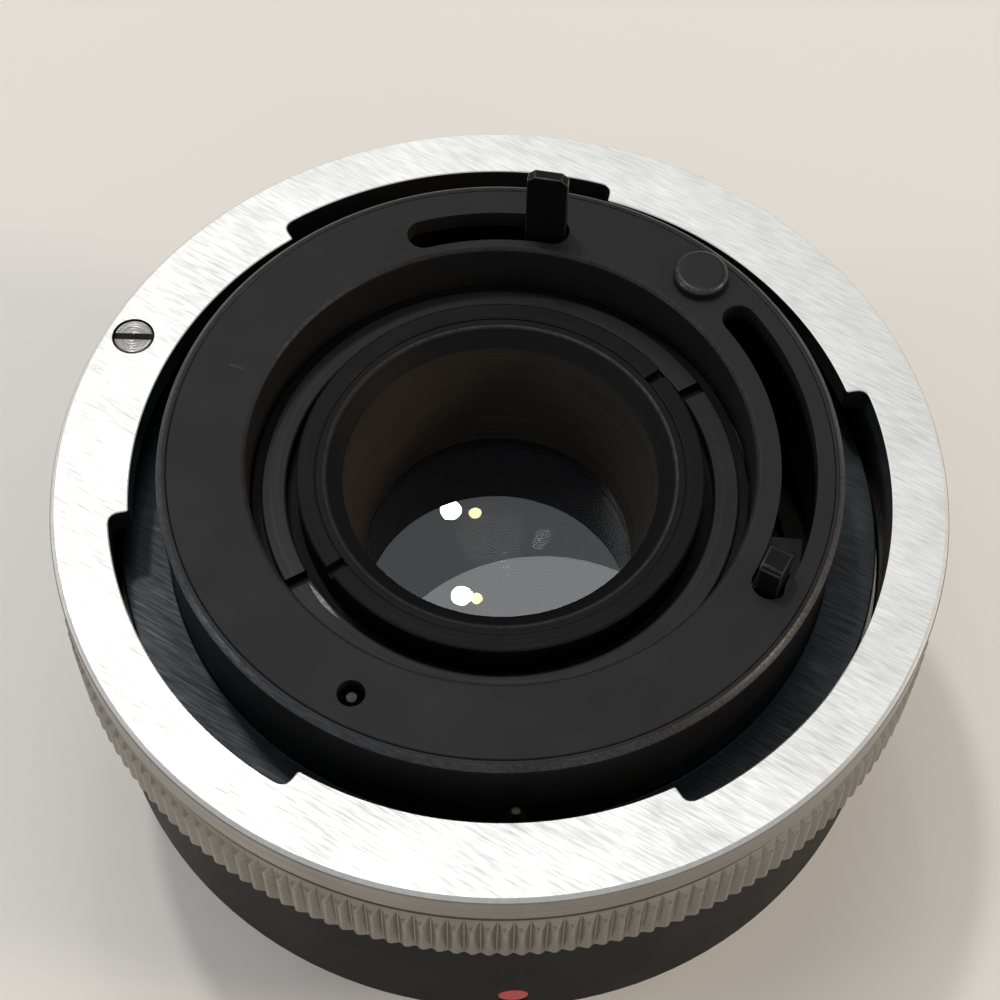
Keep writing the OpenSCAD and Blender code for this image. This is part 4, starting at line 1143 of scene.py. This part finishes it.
@dataclass
class CameraMount:
    """Black flange and spigot with the plate, the pin and the post."""

    tool: NodeTool
    ring_face_z: float
    flange_t: float = 1.9
    flange_skin: float = 0.01
    spigot_r: float = 23.8
    spigot_in_r: float = 22.5
    plate_t: float = 1.5
    plate_seat_r: float = 23.1
    plate_ease: float = 0.08
    rim_edge: float = 0.4
    rim_slope: Point = (0.3, 0.97)
    plate_slope: Point = (0.2, 0.95)
    well_r: float = 17.65
    well_edge: float = 0.25
    collar_wall: float = 0.6
    collar_drop: float = 0.5
    slot_w: float = 2.5
    aperture_slot: Triple = (19.75, 76.5, 111.5)
    signal_slot: Triple = (20.6, 328.3, 398.5)
    exposure_hole: Triple = (20.85, 243.5, 0.95)
    post_hole: Triple = (20.95, 47.5, 0.83)
    pin_hole: Triple = (25.1, 273.5, 0.73)
    faint_line: Triple = (19.2, 20.6, 160.7)
    faint_line_w: float = 0.35
    screw_ring_r: float = 24.75
    screw_angles: Triple = (45.25, 166.0, 257.0)
    screw_hole_r: float = 1.0
    screw_sink: float = 0.6

    def __post_init__(self) -> None:
        """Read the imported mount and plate."""
        self.mount = Span("rear_mount")
        self.plate = Span("rear_plate")
        self.flange_z = self.mount.foot + self.flange_t

    def build_spigot(self) -> Piece:
        """Make the flange and spigot in one piece.

        Returns:
            The mount with its holes.
        """
        foot, flange_r, flange_z, top = self.mount.foot, self.mount.radius, self.flange_z, self.plate.top
        seat_z = top - self.plate_t
        outline = [
            (self.spigot_in_r, foot), (flange_r, foot), (flange_r, flange_z), (self.spigot_r, flange_z),
            (self.spigot_r, top - self.rim_edge), (self.spigot_r - self.rim_edge, top),
            (self.plate_seat_r, top), (self.plate_seat_r, seat_z), (self.spigot_in_r, seat_z),
        ]
        mesh = rub_and_highlight(lathe(eased(outline)), *self.rim_slope)
        for face in mesh.faces:
            height = face.calc_center_median().z / MM
            if height < flange_z + self.flange_skin:
                face.material_index = 2
            elif height <= self.ring_face_z:
                face.material_index = 0
        spigot = to_object("camera_mount", mesh, [SPIGOT_BLACK, RIM_WEAR_AND_HIGHLIGHT, FLANGE_BLUED])
        radius, angle, half = self.pin_hole
        high = flange_z + CUT_FREE
        holes = [round_hole(half, polar(radius, angle), foot - CUT_FREE, high)]
        holes += [
            round_hole(self.screw_hole_r, polar(self.screw_ring_r, a), flange_z - self.screw_sink, high)
            for a in self.screw_angles
        ]
        return carve(spigot, holes, SPIGOT_BLACK)

    def build_plate(self) -> Piece:
        """Make the plate with its collar.

        Returns:
            The plate with its slots and holes.
        """
        top, plate_r = self.plate.top, self.plate.radius
        under = top - self.plate_t
        collar_z = Span("cell_lock_ring").top - self.collar_drop
        collar_r = self.well_r + self.collar_wall
        outline = [
            (self.well_r, collar_z), (collar_r, collar_z), (collar_r, under), (plate_r, under),
            (plate_r, top), (self.well_r + self.well_edge, top), (self.well_r, top - self.well_edge),
        ]
        mesh = rub_and_highlight(lathe(eased(outline, self.plate_ease)), *self.plate_slope)
        plate = to_object("camera_plate", mesh, [PLATE_BLACK, PLATE_EDGE])
        low, high = under - CUT_FREE, top + CUT_FREE
        cuts = [
            prism(slot_plan(radius, self.slot_w, start, end), low, high)
            for radius, start, end in (self.aperture_slot, self.signal_slot)
        ]
        cuts += [
            round_hole(half, polar(radius, angle), low, high)
            for radius, angle, half in (self.exposure_hole, self.post_hole)
        ]
        return carve(plate, cuts, PLATE_BLACK)

    def build_faint_line(self) -> Piece:
        """Make the faint light mark across the plate.

        Returns:
            The mark.
        """
        inner, outer, angle = self.faint_line
        steps = 8
        path = [polar(inner + (outer - inner) * k / steps, angle) for k in range(steps + 1)]
        return sliver("plate_scuff", path, self.faint_line_w, self.plate.top, PLATE_EDGE)

    def build(self) -> None:
        """Make and place all pieces of the camera side."""
        place(self.build_faint_line(), "black_plate")
        place(self.build_spigot(), "black_mount", "rear_mount")
        place(self.build_plate(), "black_plate", "rear_plate")
        Copied("locating_pin", PIN_STEEL, "steel", edge=0.05).build()
        Copied("aperture_post", BLACK_STEEL, "black_steel", wear_and_highlight=STEEL_EDGE).build()
        spots = [(*polar(self.screw_ring_r, angle), self.flange_z, angle) for angle in self.screw_angles]
        screws = SunkScrew().build(self.tool, "camera_mount_screws", spots, BLACK_STEEL, 1.0)
        place(screws, "black_steel", "rear_mount_screws")


@dataclass
class Optics:
    """Lens cell, its rings, the baffle and the glass."""

    lock_in_r: float = 15.1
    lock_notch: Point = (31.0, 0.9)
    retainer_in_r: float = 12.95
    retainer_t: float = 1.0
    retainer_notch: Point = (36.5, 0.8)
    notch_h: float = 0.7
    ring_ease: float = 0.16
    ring_slope: Point = (0.3, 0.97)
    skirt_r: float = 13.65
    funnel_r: float = 12.3
    bore_r: float = 11.1
    funnel_h: float = 0.95
    mouth_edge: float = 0.14
    bore_taper: float = 1.28
    baffle_r: float = 10.6
    stem_r: float = 12.92
    stem_drop: float = 1.0
    ridge_pitch: float = 0.55
    ridge_depth: float = 0.09
    glass_r: float = 10.6
    seat_r: float = 9.9
    front_glass_r: float = 11.9
    front_seat_r: float = 10.5
    glass_segments: int = 192
    rear_curve: float = 300.0
    rear_inner_curve: float = 50.0
    doublet_curve: float = 40.0
    front_inner_curve: float = 32.0
    front_curve: float = 90.0
    scratch: Triple = (15.46, 212.8, 226.0)
    scratch_w: float = 0.32
    scratch_steps: int = 12
    upward: float = 0.5

    def __post_init__(self) -> None:
        """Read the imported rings."""
        self.lock = Span("cell_lock_ring")
        self.retainer = Span("rear_retainer")
        self.baffle = Span("rear_baffle")

    def notched(self, name: str, outline: Sequence[Point], finishes: Sequence[Metal], notch: Point) -> Piece:
        """Turn a ring with two spanner notches and lighter edges, partly wear and partly a painted highlight.

        Args:
            name: name of the piece.
            outline: points as radius and height.
            finishes: finishes of the ring and its edges.
            notch: angle and width of the notches.

        Returns:
            The cut ring.
        """
        inner, outer = min(r for r, _ in outline), max(r for r, _ in outline)
        ring = to_object(name, rub_and_highlight(lathe(eased(outline, self.ring_ease)), *self.ring_slope), finishes)
        angle, width = notch
        size = (outer - inner + CUT_FREE, width, 2 * self.notch_h)
        middle = ((outer + inner) / 2, 0.0, max(z for _, z in outline))
        return carve(ring, [box_cutter(size, middle, angle + turn) for turn in (0.0, 180.0)], RING_BLACK)

    @staticmethod
    def sag(curve: float, radius: float) -> float:
        """Return how far a lens face of a curve lies above its middle at a radius."""
        return math.copysign(abs(curve) - math.sqrt(curve * curve - radius * radius), curve)

    def bowl(self, height: float, curve: float, start: float, end: float) -> list[Point]:
        """Return outline points of a lens face.

        Args:
            height: height of the face on the axis.
            curve: its radius, positive where the centre lies above.
            start: radius at which the points start.
            end: radius at which they end.

        Returns:
            Radius and height of each point.
        """
        steps = 20
        radii = [start + (end - start) * k / steps for k in range(steps + 1)]
        return [(r, height + self.sag(curve, r)) for r in radii]

    def glass_outlines(self) -> dict[str, list[Point]]:
        """Outline the lens elements.

        Returns:
            The section of each element by its node.
        """
        rear, upper, lower, front = (
            Span(node) for node in ("rear_element", "doublet_rear", "doublet_front", "front_element")
        )
        rim = self.sag(self.doublet_curve, self.seat_r)
        inner_rim = self.sag(self.front_inner_curve, self.front_seat_r)
        return {
            "rear_element": self.bowl(rear.foot, self.rear_inner_curve, 0.0, self.glass_r)
            + self.bowl(rear.top, -self.rear_curve, self.glass_r, 0.0),
            "doublet_rear": [(0.0, upper.foot), (self.glass_r, upper.foot), (self.glass_r, upper.top)]
            + self.bowl(upper.top - rim, self.doublet_curve, self.seat_r, 0.0),
            "doublet_front": self.bowl(lower.foot, self.doublet_curve, 0.0, self.glass_r)
            + [(self.glass_r, lower.top), (0.0, lower.top)],
            "front_element": self.bowl(front.foot, self.front_curve, 0.0, self.front_glass_r)
            + [(self.front_glass_r, front.top)]
            + self.bowl(front.top - inner_rim, self.front_inner_curve, self.front_seat_r, 0.0),
        }

    def build_lock_ring(self) -> Piece:
        """Make the lock ring that holds the cell.

        Returns:
            The notched ring.
        """
        inner, outer, foot, top = self.lock_in_r, self.lock.radius, self.lock.foot, self.lock.top
        outline = [(inner, foot), (outer, foot), (outer, top), (inner, top)]
        return self.notched("cell_lock_ring_piece", outline, [LOCK_BLACK, LOCK_EDGE], self.lock_notch)

    def build_retainer(self) -> Piece:
        """Make the retainer round the funnel.

        Returns:
            The notched ring.
        """
        box, inner = self.retainer, self.retainer_in_r
        rim_z = box.top - self.retainer_t
        outline = [
            (inner, box.foot), (self.skirt_r, box.foot), (self.skirt_r, rim_z), (box.radius, rim_z),
            (box.radius, box.top), (inner, box.top),
        ]
        return self.notched("rear_retainer_piece", outline, [RING_BLACK, OPTIC_EDGE], self.retainer_notch)

    def build_baffle(self) -> Piece:
        """Make the funnel and the ridged bore.

        Returns:
            The baffle.
        """
        top, foot, skirt_z = self.baffle.top, self.baffle.foot, self.retainer.foot
        throat = top - self.funnel_h
        mouth = [(self.stem_r, top), (self.funnel_r, top), (self.bore_r, throat)]
        outline = eased(mouth, self.mouth_edge, closed=False)
        depth = throat - foot
        count = round(depth / self.ridge_pitch)
        for i in range(count):
            radius = self.bore_r - self.bore_taper * (i + 1) / count
            outline.append((radius + self.ridge_depth, throat - depth * (i + 0.5) / count))
            outline.append((radius, throat - depth * (i + 1) / count))
        outline += [(self.baffle_r, foot), (self.baffle_r, skirt_z - self.stem_drop), (self.stem_r, skirt_z)]
        mesh = lathe(outline)
        for face in mesh.faces:
            height = face.calc_center_median().z / MM
            face.material_index = int(height > throat)
            # The funnel's mouth edge gets the lighter edge finish: partly wear, partly a painted highlight.
            if height > top - self.mouth_edge and 0.0 < face.normal.z < LEVEL:
                face.material_index = 2
        return to_object("rear_baffle_piece", mesh, [BAFFLE_BLACK_PAINTED_LIGHT, RING_BLACK, OPTIC_EDGE])

    def build_scratch(self) -> Piece:
        """Return the bright scratch along the lock ring."""
        path = arc(*self.scratch, self.scratch_steps)
        return sliver("lock_ring_scratch", path, self.scratch_w, self.lock.top, BARE_METAL)

    def build(self) -> None:
        """Make and place all pieces of the optics."""
        place(self.build_lock_ring(), "black_anodised", "cell_lock_ring")
        place(self.build_retainer(), "black_anodised", "rear_retainer")
        place(self.build_baffle(), "baffle_black", "rear_baffle")
        place(self.build_scratch(), "steel")
        for node, outline in self.glass_outlines().items():
            mesh = lathe(outline, self.glass_segments, closed=False)
            for face in mesh.faces:
                face.material_index = int(node == "rear_element" and face.normal.z > self.upward)
            place(to_object(f"{node}_glass", mesh, [INNER_GLASS, REAR_GLASS]), "glass", node)
        for node in ("lens_cell", "front_retainer", "core_sleeve"):
            Copied(node, RING_BLACK, "black_anodised").build()


@dataclass
class LensSide:
    """Barrel, index dot and the mount that takes a lens."""

    tool: NodeTool
    screw_ring_r: float = 27.575
    screw_angles: Triple = (45.25, 158.0, 257.0)

    def build(self) -> None:
        """Make and place all pieces of the barrel and the lens side."""
        Copied("main_barrel", BARREL_BLACK, "black_barrel", wear_and_highlight=BARREL_EDGE, name="barrel").build()
        Copied("index_dot", INDEX_RED, "index_red", edge=0.12, name="index_dot_paint").build()
        Copied("front_mount", SATIN_CHROME, "satin_chrome", edge=0.08, name="lens_mount").build()
        head_z = Span("front_mount_screws").foot
        spots = [(*polar(self.screw_ring_r, angle), head_z, angle) for angle in self.screw_angles]
        screws = SunkScrew().build(self.tool, "lens_mount_screws", spots, STEEL, -1.0)
        place(screws, "steel", "front_mount_screws")


@dataclass(frozen=True)
class Lever:
    """Upright blade on a curved foot, at its place in the linkage."""

    node: str
    body: Body
    blade_r: float
    angle: float
    thick: float
    width: float
    tip: float
    foot: Spot
    foot_t: float = 0.8
    edge: float = 0.1
    flat: float = 0.99
    foot_steps: int = 16

    def build(self) -> None:
        """Make the lever with lighter edges, partly wear and partly a painted highlight, and place it."""
        box = Span(self.node)
        base, top = box.foot, box.top
        half, depth = self.width / 2, self.thick / 2
        plan = [
            (-half, base + self.edge), (half, base + self.edge), (half, top - self.tip),
            (half - self.tip, top), (self.tip - half, top), (-half, top - self.tip),
        ]
        mesh = prism(plan, self.blade_r - depth, self.blade_r + depth)
        soften(mesh, mesh.edges[:], self.edge)
        stand = Matrix(((0, 0, 1), (1, 0, 0), (0, 1, 0))).to_4x4()
        turn = Matrix.Rotation(math.radians(self.angle), 4, "Z")
        bmesh.ops.transform(mesh, verts=mesh.verts, matrix=turn @ stand)
        mesh.normal_update()
        up = Vector((0.0, 0.0, 1.0))
        axis = Vector(polar(1.0, self.angle)).to_3d()
        # Bevel faces get the lighter edge finish: partly wear, partly a painted highlight.
        for face in mesh.faces:
            facing = max(abs(face.normal.dot(side)) for side in (up, axis, axis.cross(up)))
            face.material_index = int(facing < self.flat)
        blade = len(mesh.faces)
        inner, outer, start, end = self.foot
        foot = arc(outer, start, end, self.foot_steps) + arc(inner, end, start, self.foot_steps)
        prism(foot, base, base + self.foot_t, mesh)
        mesh.faces.ensure_lookup_table()
        for face in mesh.faces[blade:]:
            face.material_index = 2
        piece = to_object(f"{self.node}_piece", mesh, [BLACK_STEEL, STEEL_EDGE, RING_BLACK])
        place(piece, "black_steel", self.node, body=self.body)


@dataclass(frozen=True)
class Spring:
    """Return spring, copied from its imported node."""

    node: str
    lower: Body
    upper: Body
    wire: float

    def build(self) -> None:
        """Make the spring from its node and hide the node."""
        spring = to_object(f"{self.node}_piece", node_mesh(self.node), [WIRE])
        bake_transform(spring)
        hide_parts(self.node)
        LOG.info("%s between %s and %s", spring.name, self.lower.value, self.upper.value)


@dataclass
class Linkage:
    """Levers, followers, the exposure pin and the springs."""

    pieces: tuple[Lever | Copied | Spring, ...] = (
        Lever("aperture_lever", Body.APERTURE, blade_r=19.9, angle=81.7, thick=0.8, width=3.0, tip=0.5,
              foot=(19.2, 20.95, 77.34, 97.1)),
        Lever("signal_lever", Body.SIGNAL, blade_r=20.6, angle=332.8, thick=1.6, width=2.1, tip=0.3,
              foot=(19.2, 21.8, 318.0, 335.72)),
        Copied("aperture_follower", STEEL, "steel", edge=0.09, body=Body.APERTURE),
        Copied("signal_follower", STEEL, "steel", edge=0.09, body=Body.SIGNAL),
        Copied("exposure_pin", PIN_STEEL, "steel", body=Body.EXPOSURE),
        Spring("aperture_spring", Body.HOUSING, Body.APERTURE, 0.36),
        Spring("signal_spring", Body.HOUSING, Body.SIGNAL, 0.36),
        Spring("exposure_spring", Body.EXPOSURE, Body.HOUSING, 0.28),
    )

    def build(self) -> None:
        """Make and place the levers, pins and springs."""
        for piece in self.pieces:
            piece.build()


@dataclass(frozen=True)
class Lamp:
    """Round lamp that points at the object, with its size and place in metres and its power in watts."""

    name: str
    power: float
    size: float
    place_at: Triple
    color: Triple

    def build(self) -> None:
        """Add the lamp."""
        data = bpy.data.lights.new(self.name, "AREA")
        data.energy = self.power
        data.shape = "DISK"
        data.size = self.size
        data.color = self.color
        lamp = add_object(self.name, data)
        lamp.location = self.place_at
        lamp.rotation_euler = (-Vector(self.place_at)).to_track_quat("-Z", "Y").to_euler()


@dataclass(frozen=True)
class Studio:
    """Table, lights and the camera at the photograph's place."""

    face_z: float
    focal_px: float = 2177.37
    image_px: float = 1000.0
    elevation: float = 58.946
    roll: float = -1.447
    distance: float = 152.91
    shift: Point = (0.04, 1.665)
    sensor: float = 36.0
    nearest: float = 0.01
    table_size: float = 4.0
    world_color: Triple = (0.98, 0.99, 1.0)
    world_strength: float = 0.43
    lamps: tuple[Lamp, ...] = (
        Lamp("ceiling", 2.1, 1.45, (-0.42, 0.75, 1.2), (1.0, 0.99, 0.97)),
        Lamp("key_back", 3.0, 0.1, (-0.27, 0.44, 1.19), (1.0, 0.99, 0.97)),
        Lamp("window", 1.3, 0.52, (0.072, 0.492, 1.415), (0.97, 0.99, 1.0)),
        Lamp("fill_left", 1.3, 0.3, (-1.05, -0.25, 0.45), (0.97, 0.99, 1.0)),
        Lamp("fill_right", 3.8, 0.25, (1.05, -0.2, 0.5), (1.0, 0.77, 0.53)),
        Lamp("bulb_0", 0.12, 0.022, (-0.0506, 0.5753, 0.9361), (1.0, 0.95, 0.88)),
        Lamp("bulb_1", 0.12, 0.022, (-0.0374, 0.4873, 0.9856), (1.0, 0.95, 0.88)),
        Lamp("small_bulb_0", 0.007, 0.013, (-0.0253, 0.5731, 0.9383), (1.0, 0.88, 0.42)),
        Lamp("small_bulb_1", 0.007, 0.013, (-0.022, 0.4851, 0.9878), (1.0, 0.88, 0.42)),
    )

    def build_camera(self) -> None:
        """Add the camera and make it the scene's."""
        data = bpy.data.cameras.new("photo_camera")
        data.sensor_width = self.sensor
        data.lens = self.focal_px * self.sensor / self.image_px
        data.clip_start = self.nearest
        e, r = math.radians(self.elevation), math.radians(self.roll)
        look = Matrix(((1, 0, 0), (0, math.sin(e), math.cos(e)), (0, -math.cos(e), math.sin(e))))
        tilt = Matrix(((math.cos(r), -math.sin(r), 0), (math.sin(r), math.cos(r), 0), (0, 0, 1)))
        turn = (tilt @ look).transposed()
        aim = Vector((0, 0, self.face_z))
        offset = turn @ Vector((*self.shift, -self.distance))
        camera = add_object("photo_camera", data)
        camera.matrix_world = Matrix.Translation((aim - offset) * MM) @ turn.to_4x4()
        bpy.context.scene.camera = camera

    def build_table(self) -> None:
        """Add the table top under the object."""
        mesh = bmesh.new()
        bmesh.ops.create_grid(mesh, x_segments=1, y_segments=1, size=self.table_size / 2)
        data = bpy.data.meshes.new("table_top")
        mesh.to_mesh(data)
        mesh.free()
        data.materials.append(TABLE_TOP.material())
        add_object("table_top", data)

    def build_world(self) -> None:
        """Light the surroundings evenly."""
        world = bpy.data.worlds.new("studio")
        world.use_nodes = True
        ground = world.node_tree.nodes["Background"]
        ground.inputs["Color"].default_value = (*self.world_color, 1.0)
        ground.inputs["Strength"].default_value = self.world_strength
        bpy.context.scene.world = world

    def build(self) -> None:
        """Set up the whole studio."""
        bpy.context.scene.view_settings.view_transform = "Standard"
        self.build_camera()
        self.build_table()
        self.build_world()
        for lamp in self.lamps:
            lamp.build()


def dress_nodes(nodes: dict[str, Piece]) -> None:
    """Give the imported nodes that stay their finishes.

    Args:
        nodes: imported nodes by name.
    """
    for node, finish in HIDDEN_FINISH.items():
        data = nodes[node].data
        data.materials.clear()
        data.materials.append(finish.material())
        LOG.info("%s keeps its packed shape", node)


def main() -> None:
    """Build the pieces in order."""
    logging.basicConfig(level=logging.INFO, format="%(name)s: %(message)s")
    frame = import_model()
    face_z = Span("breech_ring").top
    tool = NodeTool("copy_round")
    BreechRing(tool).build()
    CameraMount(tool, face_z).build()
    Optics().build()
    LensSide(tool).build()
    Linkage().build()
    dress_nodes(frame["nodes"])
    Studio(face_z).build()


if __name__ == "__main__":
    main()
